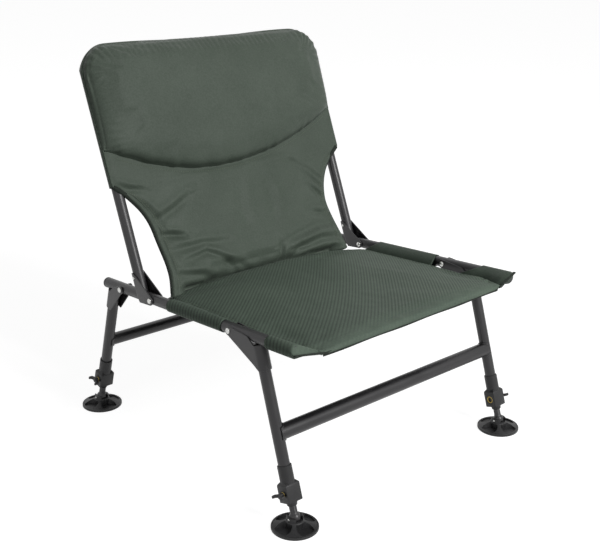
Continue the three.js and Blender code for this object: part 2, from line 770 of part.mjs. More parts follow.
// Back cloth. In the back's own frame x is across, z is up along the posts and -y is the front.
const seamAt = (x) => seamCentreHeight + (seamEdgeHeight - seamCentreHeight) * (x / coverHalfWidth) ** 2;
function coverTopAt(x) {
  const past = Math.abs(x) - (coverHalfWidth - coverCornerRadius);
  if (past <= 0) return coverTop;
  return coverTop - coverCornerRadius + Math.sqrt(Math.max(0, coverCornerRadius ** 2 - past ** 2));
}
const frameCutter = bentFrame(postRadius + clearance, 0);
const spread = (u) => Math.sin(u * Math.PI / 2) * packedShare + u * (1 - packedShare);
const sideFall = (u, exponent) => Math.max(0, Math.cos(u * Math.PI / 2)) ** exponent;

function headCushion() {
  const surface = (front) => (u, w) => {
    const x = spread(u) * coverHalfWidth;
    const low = seamAt(x);
    const z = low + (coverTopAt(x) - low) * w;
    const crown = sideFall(u, headSideExponent) * Math.max(0, Math.sin(Math.PI * w)) ** headEndExponent;
    return [x, front ? -headEdge - (headCrown - headEdge) * crown : -clearance / 2, z];
  };
  return carve(softForm(backColumns, headRows, surface(true), surface(false)), [], [frameCutter]);
}

function rearCover() {
  const surface = (front) => (u, w) => {
    const x = spread(u) * coverHalfWidth;
    const z = pocketBottom + (coverTopAt(x) - pocketBottom) * w;
    const round = Math.min(1, sideFall(u, 1) * coverEdgeRise, (1 - w) * coverEdgeRise);
    return [x, front ? clearance / 2 : coverRearEdge + (coverRearDepth - coverRearEdge) * round, z];
  };
  return carve(softForm(backColumns, coverRows, surface(true), surface(false)), [], [frameCutter]);
}

// Half width of the panel under the seam: full in the pocket, drawn in to a waist, a little wider at the seat
function panelHalfAt(z) {
  if (z >= pocketBottom) return coverHalfWidth;
  if (z <= panelWaistHeight) {
    const share = (panelWaistHeight - z) / (panelWaistHeight - panelBottom);
    return panelWaistHalfWidth + (panelHipHalfWidth - panelWaistHalfWidth) * share ** hipExponent;
  }
  const share = (z - panelWaistHeight) / (pocketBottom - panelWaistHeight);
  return panelWaistHalfWidth + (coverHalfWidth - panelWaistHalfWidth) * share ** waistExponent;
}

function lowerPanel() {
  const surface = (front) => (u, w) => {
    const top = seamAt(spread(u) * coverHalfWidth) - clearance;
    const z = panelBottom + (top - panelBottom) * w;
    const x = spread(u) * panelHalfAt(z);
    const inPocket = THREE.MathUtils.smoothstep(z, pocketBottom - pocketBlend, pocketBottom);
    const full = sideFall(u, panelSideExponent);
    const depth = panelEdgeDepth + (panelFrontDepth - panelEdgeDepth) * full;
    const frontDepth = depth + (panelPocketDepth - depth) * inPocket * (1 - full);
    const backDepth = panelBackDepth + (clearance / 2 - panelBackDepth) * inPocket;
    return [x, front ? -frontDepth : -backDepth, z];
  };
  return carve(softForm(backColumns, panelRows, surface(true), surface(false)), [], [frameCutter]);
}
backGroup.add(
  mesh('head_cushion', headCushion(), cloth),
  mesh('back_cover_rear', rearCover(), plainCloth),
  mesh('back_panel', lowerPanel(), cloth));

// The origin is under the middle of the chair's box, on the floor
chair.updateMatrixWorld(true);
const box = new THREE.Box3().setFromObject(chair, true);
chair.position.y = -(box.min.y + box.max.y) / 2;

export default chair;
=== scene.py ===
# %% [markdown]
# A low folding fishing chair. A frame of black tube folds on six rivets and carries a padded seat and back
# of grey-green polyester. The solid model fixes every size and pivot, and this lesson dresses it: finer
# metal and plastic, blown-up padding, folds and stitches. Each piece is modelled in millimetres beside its
# own tube and moved to the chair at the end, because a bracket is easy to draw on an upright leg and hard
# on a leaning one.

# %% Load the frame
import json
import math

import bmesh
import bpy
from mathutils import Matrix, Vector, noise
from mathutils.bvhtree import BVHTree


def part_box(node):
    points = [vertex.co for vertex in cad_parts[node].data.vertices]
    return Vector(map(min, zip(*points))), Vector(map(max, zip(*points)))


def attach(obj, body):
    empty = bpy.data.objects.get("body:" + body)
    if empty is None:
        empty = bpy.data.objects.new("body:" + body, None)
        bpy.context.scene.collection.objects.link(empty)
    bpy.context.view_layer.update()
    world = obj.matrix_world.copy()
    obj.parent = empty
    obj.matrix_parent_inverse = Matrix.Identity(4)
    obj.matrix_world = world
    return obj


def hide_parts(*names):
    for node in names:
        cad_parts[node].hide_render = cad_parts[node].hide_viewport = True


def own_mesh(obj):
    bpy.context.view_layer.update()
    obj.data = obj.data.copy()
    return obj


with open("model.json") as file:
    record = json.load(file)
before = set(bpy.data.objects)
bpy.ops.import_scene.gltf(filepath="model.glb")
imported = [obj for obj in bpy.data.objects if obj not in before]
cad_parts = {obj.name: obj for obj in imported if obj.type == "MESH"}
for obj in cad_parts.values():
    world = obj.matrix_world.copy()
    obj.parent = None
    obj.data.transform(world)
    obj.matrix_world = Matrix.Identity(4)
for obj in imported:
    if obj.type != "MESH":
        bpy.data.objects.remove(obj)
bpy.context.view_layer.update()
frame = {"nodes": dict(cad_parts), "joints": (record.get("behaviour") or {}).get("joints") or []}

print("nodes to dress:", len(frame["nodes"]))

# %% [markdown]
# A place is a matrix that takes millimetres beside one tube to metres in the chair: x runs across the chair
# and z along the tube. Reading the places from the joints keeps every dressed piece on the solid that it
# stands for. Stations count millimetres along a rail from its rear end.

# %% Places of the rails, the back and the leg frames
MM = 0.001
HALF_SPACING = 250.0
STATIONS = {"rear_leg": 55.5, "back": 150.5, "front_leg": 369.5}
POST_STATION = 116.5
FRONT_LEG_STATION = 429
REAR_LEG_STATION = 23
sides = (("left", -1), ("right", 1))
pivot = {joint["name"]: Vector(joint["pos_m"]) for joint in frame["joints"] if "pos_m" in joint}
slide = {joint["name"]: Vector(joint["axis"]) for joint in frame["joints"] if joint["type"] == "slide"}


def place(origin, along):
    z = Vector(along).normalized()
    x = Vector((1, 0, 0))
    turn = Matrix((x, z.cross(x), z)).transposed().to_4x4()
    return Matrix.Translation(origin) @ turn @ Matrix.Scale(MM, 4)


rail_way = (pivot["front_legs_fold"] - pivot["back_fold"]).normalized()
rail_rear = pivot["back_fold"] - rail_way * STATIONS["back"] * MM
rail_at = place(rail_rear, rail_way)
low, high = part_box("back_fixing_rivet_left")
post_foot = rail_rear + rail_way * POST_STATION * MM
post_rise = (low + high) / 2 - post_foot
post_rise.x = 0
back_at = place(post_foot, post_rise)
front_at = place(rail_rear + rail_way * FRONT_LEG_STATION * MM, slide["front_leg_extension_left"])
rear_at = place(rail_rear + rail_way * REAR_LEG_STATION * MM, -slide["rear_leg_extension_left"])
leg_places = [(end, at, side, sign) for end, at in (("front", front_at), ("rear", rear_at))
              for side, sign in sides]
print("the back leans", round(math.degrees(math.atan2(post_rise.y, post_rise.z)), 1), "degrees")

# %% [markdown]
# Small helpers hold the operators that come back again and again. A turned form is a profile spun about z,
# a plate is an outline in the side view pulled out across the chair, and carve joins and cuts solids as a
# milling shop would. Exact booleans are slower than fast ones, but they keep thin pressed walls whole.

# %% Forms
def verts_of(result):
    return [item for item in result["geom"] if isinstance(item, bmesh.types.BMVert)]


def open_edges(bm):
    return [edge for edge in bm.edges if edge.is_boundary]


def outfaced(bm):
    bmesh.ops.recalc_face_normals(bm, faces=bm.faces)
    return bm


def turned(profile, facets=64):
    bm = bmesh.new()
    points = [bm.verts.new((radius, 0, height)) for radius, height in profile]
    edges = [bm.edges.new(pair) for pair in zip(points, points[1:])]
    bmesh.ops.spin(bm, geom=points + edges, cent=(0, 0, 0), axis=(0, 0, 1), angle=math.tau, steps=facets,
                   use_merge=True)
    bmesh.ops.remove_doubles(bm, verts=bm.verts, dist=1e-4)
    return outfaced(bm)


def bar(radius, low, high, facets=64, top=None):
    bm = bmesh.new()
    bmesh.ops.create_cone(bm, cap_ends=True, segments=facets, radius1=radius, radius2=top or radius,
                          depth=high - low)
    bmesh.ops.translate(bm, vec=(0, 0, (low + high) / 2), verts=bm.verts)
    return bm


def block(low, high):
    bm = bmesh.new()
    bmesh.ops.create_cube(bm, size=1)
    low, high = Vector(low), Vector(high)
    bmesh.ops.scale(bm, vec=high - low, verts=bm.verts)
    bmesh.ops.translate(bm, vec=(low + high) / 2, verts=bm.verts)
    return bm


def plate(outline, width):
    bm = bmesh.new()
    face = bm.faces.new([bm.verts.new((-width / 2, y, z)) for y, z in outline])
    far = bmesh.ops.extrude_face_region(bm, geom=[face])
    bmesh.ops.translate(bm, vec=(width, 0, 0), verts=verts_of(far))
    return outfaced(bm)


def moved(bm, matrix):
    bmesh.ops.transform(bm, matrix=matrix, verts=bm.verts)
    return bm


def across(bm):
    return moved(bm, Matrix.Rotation(math.pi / 2, 4, "Y"))


def shift(x=0.0, y=0.0, z=0.0):
    return Matrix.Translation((x, y, z))


def beside(at, sign, z=0.0):
    return at @ shift(sign * HALF_SPACING, 0, z)


def outward(sign):
    return Matrix.Rotation(0 if sign > 0 else math.pi, 4, "Z")


def bevelled(bm, edges, width, segments):
    bmesh.ops.bevel(bm, geom=edges, offset=width, offset_type="OFFSET", affect="EDGES", segments=segments,
                    profile=0.5, material=-1, clamp_overlap=True)
    return bm


def rounded(bm, width, angle=30):
    sharp = [edge for edge in bm.edges if len(edge.link_faces) == 2
             and edge.calc_face_angle() > math.radians(angle)]
    return bevelled(bm, sharp, width, 3)


def mesh_of(bm, name="form"):
    mesh = bpy.data.meshes.new(name)
    bm.to_mesh(mesh)
    bm.free()
    return mesh


def shown(name, mesh):
    thing = bpy.data.objects.new(name, mesh)
    bpy.context.scene.collection.objects.link(thing)
    return thing


def discard(thing):
    mesh = thing.data
    bpy.data.objects.remove(thing)
    bpy.data.meshes.remove(mesh)


def carve(base, joined=(), cut=(), kept=()):
    solid = shown("solid", mesh_of(base))
    tools = []
    for operation, forms in (("UNION", joined), ("INTERSECT", kept), ("DIFFERENCE", cut)):
        for form in forms:
            tool = shown("tool", mesh_of(form))
            modifier = solid.modifiers.new(operation, "BOOLEAN")
            modifier.operation = operation
            modifier.solver = "EXACT"
            modifier.object = tool
            tools.append(tool)
    bm = bmesh.new()
    bm.from_object(solid, bpy.context.evaluated_depsgraph_get())
    for thing in [solid, *tools]:
        discard(thing)
    bmesh.ops.remove_doubles(bm, verts=bm.verts, dist=0.01)
    bmesh.ops.dissolve_degenerate(bm, dist=0.01, edges=bm.edges)
    return bm


# %% [markdown]
# A piece is a form with its place, its finish and the solid that it stands for. Shading is smooth with
# sharp edges where faces meet at a real corner. On brackets, welds and feet a bevel modifier rounds those
# corners, because no pressed or moulded edge is a perfect line, and the thin highlight along it makes an
# object look made.

# %% Pieces
count = {}


def piece(name, form, at, body, slot, finish, nodes=(), soften=0.0, angle=30):
    bmesh.ops.transform(form, matrix=at, verts=form.verts)
    thing = shown(name, mesh_of(form, name))
    thing.data.shade_smooth()
    if soften:
        bevel = thing.modifiers.new("soft edges", "BEVEL")
        bevel.width = soften * MM
        bevel.segments = 2
        bevel.limit_method = "ANGLE"
        bevel.angle_limit = math.radians(angle)
        bevel.harden_normals = True
    else:
        thing.data.set_sharp_from_angle(angle=math.radians(angle))
    thing.data.materials.append(finish)
    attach(thing, body)
    if nodes:
        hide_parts(*nodes)
    count[slot] = count.get(slot, 0) + 1
    return thing


def cloth_piece(name, form, at, body, finish, nodes=(), slot="plain_cloth"):
    return piece(name, form, at, body, slot, finish, nodes, angle=60)


def thickened(thing, offset):
    thick = thing.modifiers.new("cloth thickness", "SOLIDIFY")
    thick.thickness = 1.2 * MM
    thick.offset = offset


# %% [markdown]
# Colours are written as on a paint card, and one function turns them to the linear values that shaders use.
# A second one adds a node with its settings and links, so that a finish reads from its pattern to its
# surface.

# %% Colours and nodes
def srgb(code):
    values = [int(code[i:i + 2], 16) / 255 for i in (1, 3, 5)]
    linear = [v / 12.92 if v <= 0.04045 else ((v + 0.055) / 1.055) ** 2.4 for v in values]
    return (*linear, 1.0)


def add(tree, kind, inputs=None, **settings):
    node = tree.nodes.new(kind)
    for name, value in settings.items():
        setattr(node, name, value)
    for name, value in (inputs or {}).items():
        if isinstance(value, tuple) and isinstance(value[0], bpy.types.Node):
            tree.links.new(value[0].outputs[value[1]], node.inputs[name])
        else:
            node.inputs[name].default_value = value
    return node


def new_finish(name):
    material = bpy.data.materials.new(name)
    material.use_nodes = True
    tree = material.node_tree
    tree.nodes.clear()
    return material, tree


def ramp(tree, factor, stops):
    node = add(tree, "ShaderNodeValToRGB", {"Fac": factor})
    elements = node.color_ramp.elements
    while len(elements) < len(stops):
        elements.new(0.5)
    for element, (position, code) in zip(elements, stops):
        element.position = position
        element.color = srgb(code)
    return node


def cloudy(tree, vector, scale, detail):
    return add(tree, "ShaderNodeTexNoise", {"Vector": vector, "Scale": scale, "Detail": detail})


def maths(tree, operation, *values):
    return add(tree, "ShaderNodeMath", dict(enumerate(values)), operation=operation)


def remap(tree, value, low=0.0, high=1.0, first=0.0, last=1.0):
    return add(tree, "ShaderNodeMapRange", {"Value": value, "From Min": low, "From Max": high,
                                            "To Min": first, "To Max": last})


def surface(tree, **inputs):
    shader = add(tree, "ShaderNodeBsdfPrincipled", {name.replace("_", " "): v for name, v in inputs.items()})
    add(tree, "ShaderNodeOutputMaterial", {"Surface": (shader, "BSDF")})


# %% [markdown]
# Powder coat is polyester powder baked on steel. It flows into a skin with a faint orange peel about a
# millimetre across, so the eye gets a soft broad highlight along each tube and never a mirror. Handling
# polishes it unevenly and dust dulls it, so the roughness wanders slowly.

# %% Powder-coated steel
def powder_coated_steel():
    material, tree = new_finish("powder_coated_steel")
    where = add(tree, "ShaderNodeTexCoord")
    peel = cloudy(tree, (where, "Object"), 900.0, 2.0)
    cloud = cloudy(tree, (where, "Object"), 22.0, 4.0)
    colour = ramp(tree, (cloud, "Fac"), [(0.3, "#1b1a1c"), (0.7, "#252426")])
    rough = remap(tree, (cloud, "Fac"), 0.3, 0.7, 0.33, 0.43)
    bump = add(tree, "ShaderNodeBump", {"Height": (peel, "Fac"), "Strength": 0.12, "Distance": 0.0004})
    surface(tree, Base_Color=(colour, "Color"), Roughness=(rough, "Result"), Specular_IOR_Level=0.55,
            Normal=(bump, "Normal"))
    return material


# %% [markdown]
# Glass-filled nylon is moulded hot against a spark-eroded tool, which leaves a fine matt grain. It scatters
# more than the paint, so feet and clamps look a touch greyer on top and stay dull.

# %% Moulded nylon
def moulded_nylon():
    material, tree = new_finish("moulded_nylon")
    where = add(tree, "ShaderNodeTexCoord")
    grain = add(tree, "ShaderNodeTexVoronoi", {"Vector": (where, "Object"), "Scale": 1400.0})
    cloud = cloudy(tree, (where, "Object"), 40.0, 3.0)
    colour = ramp(tree, (cloud, "Fac"), [(0.3, "#212122"), (0.72, "#2f2f30")])
    bump = add(tree, "ShaderNodeBump", {"Height": (grain, "Distance"), "Strength": 0.2, "Distance": 0.0003})
    surface(tree, Base_Color=(colour, "Color"), Roughness=0.46, Specular_IOR_Level=0.4,
            Normal=(bump, "Normal"))
    return material


# %% [markdown]
# Rivets and foot pins are zinc-plated steel: bright, almost without colour and a little cloudy, because the
# plating grows in crystals. The screw inserts are turned brass, with rings of tool marks that are drawn as
# a change of tone.

# %% Zinc plate and turned brass
def zinc_plate():
    material, tree = new_finish("zinc_plated_steel")
    where = add(tree, "ShaderNodeTexCoord")
    cloud = cloudy(tree, (where, "Object"), 420.0, 3.0)
    colour = ramp(tree, (cloud, "Fac"), [(0.35, "#b9bab8"), (0.7, "#d6d6d2")])
    rough = remap(tree, (cloud, "Fac"), first=0.2, last=0.42)
    surface(tree, Base_Color=(colour, "Color"), Metallic=1.0, Roughness=(rough, "Result"))
    return material


def turned_brass():
    material, tree = new_finish("turned_brass")
    where = add(tree, "ShaderNodeTexCoord")
    rings = add(tree, "ShaderNodeTexWave", {"Vector": (where, "Object"), "Scale": 700.0, "Distortion": 1.5},
                wave_type="BANDS", bands_direction="X")
    colour = ramp(tree, (rings, "Fac"), [(0.0, "#7c6a38"), (1.0, "#b3a066")])
    surface(tree, Base_Color=(colour, "Color"), Metallic=1.0, Roughness=0.34)
    return material


# %% [markdown]
# The cloth is plain-woven polyester, coated behind. Its threads stand about half a millimetre apart, too
# fine to show from here, so the weave is drawn at 1.6 mm. What the eye gets is a matt cloth with slow
# patches of lighter and darker green. The seat's cloth has ribs besides, with painted shade in the grooves
# between them, and ribs and painted shade nearly fade out at its front edge. The waves run in the plane of
# the cloth: the mapping turns the chair's axes to the lean of the back or to the flat of the seat.

# %% Woven polyester
def woven_polyester(name, lean, dark, light, ribs=False, roughness=0.5):
    material, tree = new_finish(name)
    where = add(tree, "ShaderNodeTexCoord")
    flat = add(tree, "ShaderNodeMapping", {"Vector": (where, "Object"), "Rotation": (lean, 0.0, 0.0)})
    warp, weft = [add(tree, "ShaderNodeTexWave", {"Vector": (flat, "Vector"), "Scale": 196.0,
                                                  "Distortion": 0.6, "Detail": 1.0}, bands_direction=way)
                  for way in "XZ"]
    weave = maths(tree, "MULTIPLY", (warp, "Fac"), (weft, "Fac"))
    patches = add(tree, "ShaderNodeTexNoise", {"Vector": (flat, "Vector"), "Scale": 9.0, "Detail": 5.0,
                                               "Roughness": 0.6})
    fibre = cloudy(tree, (flat, "Vector"), 380.0, 3.0)
    mixed = maths(tree, "ADD", (patches, "Fac"), (fibre, "Fac"))
    spread = remap(tree, (mixed, "Value"), 0.7, 1.3)
    colour = ramp(tree, (spread, "Result"), [(0.0, dark), (1.0, light)])
    height = weave
    base = (colour, "Color")
    if ribs:
        axes = add(tree, "ShaderNodeSeparateXYZ", {"Vector": (where, "Object")})
        square = maths(tree, "MULTIPLY", (axes, "X"), (axes, "X"))
        slant = maths(tree, "SUBTRACT", (axes, "X"), (axes, "Y"))
        half_slant = maths(tree, "MULTIPLY", (slant, "Value"), 0.707)
        phase = maths(tree, "MULTIPLY_ADD", (square, "Value"), 0.39, (half_slant, "Value"))
        line = add(tree, "ShaderNodeCombineXYZ", {"X": (phase, "Value")})
        rib = add(tree, "ShaderNodeTexWave", {"Vector": (line, "Vector"), "Scale": 58.0, "Distortion": 0.3,
                                              "Detail": 1.0, "Detail Scale": 0.4}, bands_direction="X")
        in_band = remap(tree, (axes, "Y"), band_front, band_front + 0.03, 0.05, 0.38)
        # Painted shade: the grooves between the ribs are darkened in colour, by up to 38 %, and by 5 % in the
        # front band.
        groove = remap(tree, (rib, "Fac"), 0.1, 0.8, 1.0, 0.0)
        painted_groove_shade = maths(tree, "MULTIPLY", (groove, "Result"), (in_band, "Result"))
        shade = maths(tree, "SUBTRACT", 1.0, (painted_groove_shade, "Value"))
        groove_shaded_colour = add(tree, "ShaderNodeMix", {0: 1.0, 6: (colour, "Color"), 7: (shade, "Value")},
                   data_type="RGBA", blend_type="MULTIPLY")
        base = (groove_shaded_colour, 2)
        small = maths(tree, "MULTIPLY", (weave, "Value"), 0.25)
        height = maths(tree, "ADD", (shade, "Value"), (small, "Value"))
    bump = add(tree, "ShaderNodeBump", {"Height": (height, "Value"), "Strength": 0.5, "Distance": 0.0004})
    surface(tree, Base_Color=base, Roughness=roughness, Sheen_Weight=0.02, Sheen_Roughness=0.4,
            Specular_IOR_Level=0.13, Normal=(bump, "Normal"))
    return material


steel = powder_coated_steel()
nylon = moulded_nylon()
zinc = zinc_plate()
brass = turned_brass()
recline = math.atan2(post_rise.y, post_rise.z)
band_front = (rail_at @ Vector((0, 0, 520))).y
back_cloth = woven_polyester("plain_woven_polyester", recline, "#4f594f", "#5e685e", roughness=0.42)
seat_cloth = woven_polyester("ribbed_woven_polyester", math.radians(90), "#5a675c", "#69776a", ribs=True,
                             roughness=0.62)
# Painted shade: the right sleeves' plain cloth is set darker than the seat's to stand in for the shade on
# them.
shaded_sleeve_cloth = woven_polyester("plain_polyester_with_painted_shade", math.radians(90), "#465147", "#525d53")
trim_cloth = woven_polyester("polyester_webbing", recline, "#2c322d", "#3a403a", roughness=0.7)
thread = woven_polyester("bonded_polyester_thread", recline, "#66705f", "#757f70", roughness=0.4)
print("finishes:", [material.name for material in (steel, nylon, zinc, brass, back_cloth, seat_cloth)])

# %% [markdown]
# The two seat rails are plain 19 mm tube with a 1.5 mm wall and a moulded plug in each end. They could be
# cylinders, but a ring profile spun about the axis gives the wall, the bore and the broken edges at once.

# %% Rails and plugs
RAIL_LENGTH = 513.0
TUBE = 9.5
CLEARANCE = 0.3


def tube(low, high, radius=TUBE, wall=1.5, facets=64):
    inner = radius - wall
    edge = 0.4
    ring = [(inner, low + edge), (inner + edge, low), (radius - edge, low), (radius, low + edge),
            (radius, high - edge), (radius - edge, high), (inner + edge, high), (inner, high - edge),
            (inner, low + edge)]
    return turned(ring, facets)


def rail_plug():
    dome = [(TUBE * math.cos(math.radians(a)), 3 + 2.5 * math.sin(math.radians(a))) for a in range(0, 90, 15)]
    return turned([(0, -14), (7.2, -14), (7.7, -13), (7.7, 0.3), (9.1, 0.3), (TUBE, 0.7), *dome, (0, 5.5)])


for side, sign in sides:
    here = beside(rail_at, sign)
    piece(f"rail_{side}", tube(0, RAIL_LENGTH), here, "seat_frame", "black_steel", steel,
          [f"seat_rail_{side}"])
    turned_back = Matrix.Rotation(math.pi, 4, "X")
    for where, at in (("rear", here @ turned_back), ("front", here @ shift(z=RAIL_LENGTH))):
        piece(f"plug_{where}_{side}", rail_plug(), at, "seat_frame", "black_plastic", nylon,
              [f"rail_{where}_plug_{side}"])
print("rails and plugs:", count)

# %% [markdown]
# A rivet is a shank with a formed dome at each end. The dome is a low arc with a thin flange under it,
# where the riveting die stopped. Eight pieces share one profile at two sizes.

# %% Rivets
GRIP = 11.8 + CLEARANCE
FIXING_HEIGHT = 33.5


def rivet(shank, head, height):
    dome = [(head * math.cos(math.radians(a)), GRIP + 0.5 + (height - 0.5) * math.sin(math.radians(a)))
            for a in range(0, 90, 15)]
    upper = [(shank, GRIP), (head, GRIP), *dome, (0, GRIP + height)]
    lower = [(radius, -z) for radius, z in reversed(upper)]
    return across(turned([*lower, *upper], 40))


for side, sign in sides:
    for name, station in STATIONS.items():
        piece(f"rivet_{name}_{side}", rivet(3, 4.75, 2.4), beside(rail_at, sign, station), "seat_frame",
              "zinc_steel", zinc, [f"{name}_pivot_rivet_{side}"])
    piece(f"rivet_post_{side}", rivet(1.5, 2.5, 1.2), beside(back_at, sign, FIXING_HEIGHT), "backrest",
          "zinc_steel", zinc, [f"back_fixing_rivet_{side}"])
print("rivets:", count["zinc_steel"])

# %% [markdown]
# The back frame is one tube bent to an upside-down U. A curve with a bevel would do, but pulling a ring of
# edges up, spinning it round each bend and pulling it across gives even faces, and straight runs that cost
# nothing. Its feet are sawn to sit astride the rails.

# %% Back frame
BACK_HEIGHT = 425.0
BEND = 52.0
RAIL_CUT = TUBE + CLEARANCE


def pulled(bm, ring, vec):
    far = bmesh.ops.extrude_edge_only(bm, edges=ring)
    ends = set(verts_of(far))
    bmesh.ops.translate(bm, vec=vec, verts=list(ends))
    return [edge for edge in bm.edges if edge.verts[0] in ends and edge.verts[1] in ends]


def bent(bm, ring, centre):
    geometry = ring + list({vert for edge in ring for vert in edge.verts})
    last = bmesh.ops.spin(bm, geom=geometry, cent=centre, axis=(0, 1, 0), angle=math.pi / 2, steps=16,
                          use_merge=False)["geom_last"]
    return [item for item in last if isinstance(item, bmesh.types.BMEdge)]


def rail_cutters(at):
    to_rail = at.inverted() @ rail_at
    return [moved(bar(RAIL_CUT, -200, 800), beside(to_rail, sign)) for _, sign in sides]


def back_frame():
    bm = bmesh.new()
    bmesh.ops.create_circle(bm, segments=48, radius=TUBE)
    bmesh.ops.translate(bm, vec=(-HALF_SPACING, 0, -2), verts=bm.verts)
    inset = HALF_SPACING - BEND
    top = BACK_HEIGHT - BEND
    ring = pulled(bm, bm.edges[:], (0, 0, top + 2))
    ring = bent(bm, ring, (-inset, 0, top))
    ring = pulled(bm, ring, (2 * inset, 0, 0))
    ring = bent(bm, ring, (inset, 0, top))
    pulled(bm, ring, (0, 0, -top - 2))
    bmesh.ops.remove_doubles(bm, verts=bm.verts, dist=1e-3)
    bmesh.ops.holes_fill(bm, edges=open_edges(bm))
    return carve(outfaced(bm), cut=rail_cutters(back_at))


piece("post_frame", back_frame(), back_at, "backrest", "black_steel", steel, ["back_frame_tube"], angle=40)

# %% [markdown]
# Each bracket is a strip of 2 mm steel pressed round its tube like a letter U, then trimmed so that its two
# walls run to a rivet. Here a bar and a block are joined, and a bar and a block whose sides lie 2 mm
# further in are cut out of them, which leaves an even wall. An outline in the side view trims the result.

# %% Brackets
CHANNEL = 9.8
WALL = 2.0
REACH = 90.0


def arc(centre, radius, start, end, steps=14):
    angles = [math.radians(start + (end - start) * i / steps) for i in range(steps + 1)]
    return [(centre[0] + radius * math.cos(a), centre[1] + radius * math.sin(a)) for a in angles]


def bracket(low, high, sign, outline):
    outer = CHANNEL + WALL
    walls = block((-outer, 0, low), (outer, REACH, high))
    hollow = block((-CHANNEL, 0, low - 9), (CHANNEL, REACH + 9, high + 9))
    form = carve(bar(outer, low, high), joined=[walls], cut=[bar(CHANNEL, low - 9, high + 9), hollow])
    if sign > 0:
        moved(form, Matrix.Rotation(math.pi, 4, "Z"))
    return carve(form, kept=[plate(outline, 60)])


def pivot_in(at, name):
    local = at.inverted() @ pivot[name]
    return local.y, local.z


def front_bracket():
    hole = pivot_in(front_at, "front_legs_fold")
    outline = [(-14, -49.8), (0, -49.8), (TUBE, -39.8), *arc(hole, 8, -70, 105), (11.8, 4.75), (0, -CHANNEL),
               (-14, -CHANNEL)]
    return bracket(-60, 40, -1, outline)


def rear_bracket():
    hole = pivot_in(rear_at, "rear_legs_fold")
    outline = [(14, -CHANNEL), (0, -CHANNEL), (-CHANNEL, 4.75), *arc(hole, 8, 75, 245), (-TUBE, -46.8),
               (0, -46.8), (14, -46.8)]
    return bracket(-60, 40, 1, outline)


def back_bracket():
    hole = pivot_in(back_at, "back_fold")
    outline = [(14, 43), (0, 43), *arc(hole, 8, 150, 290), (0, -TUBE), (11.8, 24), (14, 24)]
    return bracket(-40, 60, 1, outline)


for side, sign in sides:
    for name, form, at, body, node in (
            ("front_bracket", front_bracket, front_at, "front_legs", "front_leg_bracket"),
            ("rear_bracket", rear_bracket, rear_at, "rear_legs", "rear_leg_bracket"),
            ("back_bracket", back_bracket, back_at, "backrest", "back_bracket")):
        piece(f"{name}_{side}", form(), beside(at, sign), body, "black_steel", steel, [f"{node}_{side}"],
              soften=0.5)
print("brackets done:", count["black_steel"])

# %% [markdown]
# A leg is a 19 mm tube that ends square, just short of the rail. Two legs and a stretcher are welded to one
# frame. The stretcher's ends are fish-mouthed to the legs, and a bead of weld fills the seam: it is the
# part that a fatter stretcher and a fatter leg share, cut at the leg's middle.

# %% Legs and stretchers
COLLAR = 25.0
BLOCK = (28.0, 23.0, 33.0)
NOSE = 6.5
BORE = 6.3


def clamp_heights(at, pin, gap):
    pin_z = (at.inverted() @ pin).z
    nose = pin_z + gap
    block_low = nose + NOSE
    block_high = block_low + BLOCK[2]
    return {"pin": pin_z, "nose": nose, "block_low": block_low, "block_high": block_high,
            "collar_high": block_high + COLLAR, "screw": (block_low + block_high - 5) / 2}


heights = {"front": clamp_heights(front_at, pivot["front_foot_tilt_left"], gap=20),
           "rear": clamp_heights(rear_at, pivot["rear_foot_tilt_left"], gap=25)}


def stretcher(radius, height):
    legs = [moved(bar(TUBE + CLEARANCE, height - 40, height + 40), shift(x=sign * HALF_SPACING))
            for _, sign in sides]
    body = moved(across(tube(-HALF_SPACING, HALF_SPACING, radius)), shift(z=height))
    return carve(body, cut=legs)


def weld_bead(radius, height, sign):
    fat_leg = moved(bar(TUBE + 2, height - 25, height + 25), shift(x=sign * HALF_SPACING))
    fat_bar = moved(across(bar(radius + 2, -HALF_SPACING, HALF_SPACING)), shift(z=height))
    return carve(fat_bar, kept=[fat_leg])


def stretcher_height(at, node):
    low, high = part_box(node)
    return (at.inverted() @ ((low + high) / 2)).z


for end, at, radius in (("front", front_at, 12.5), ("rear", rear_at, 11.0)):
    height = stretcher_height(at, f"{end}_stretcher")
    body = f"{end}_legs"
    piece(f"{end}_crossbar", stretcher(radius, height), at, body, "black_steel", steel, [f"{end}_stretcher"])
    for side, sign in sides:
        piece(f"{end}_leg_{side}", tube(heights[end]["block_high"] + CLEARANCE, -CHANNEL), beside(at, sign),
              body, "black_steel", steel, [f"{end}_leg_tube_{side}"])
        piece(f"{end}_weld_{side}", weld_bead(radius, height, sign), at, body, "black_steel", steel,
              soften=0.5)
print("leg frames done:", {end: round(z["screw"], 1) for end, z in heights.items()})

# %% [markdown]
# The clamp is one moulding: a collar that grips the leg, a chamfered block with the screw, and a short
# tapered nose that guides the lower leg. The block starts as a cube whose edges are bevelled while they are
# still simple, and the collar and nose are turned and joined to it. A brass insert takes the screw, and a
# second ring of it sits in the block's far side.

# %% Clamps and inserts
def clamp_block(low, high):
    half_x, half_y = BLOCK[0] / 2, BLOCK[1] / 2
    bm = block((-half_x, -half_y, low), (half_x, half_y, high))
    top = [edge for edge in bm.edges if all(vert.co.z > high - 1 for vert in edge.verts)]
    return rounded(bevelled(bm, top, 4.5, 1), 1.2)


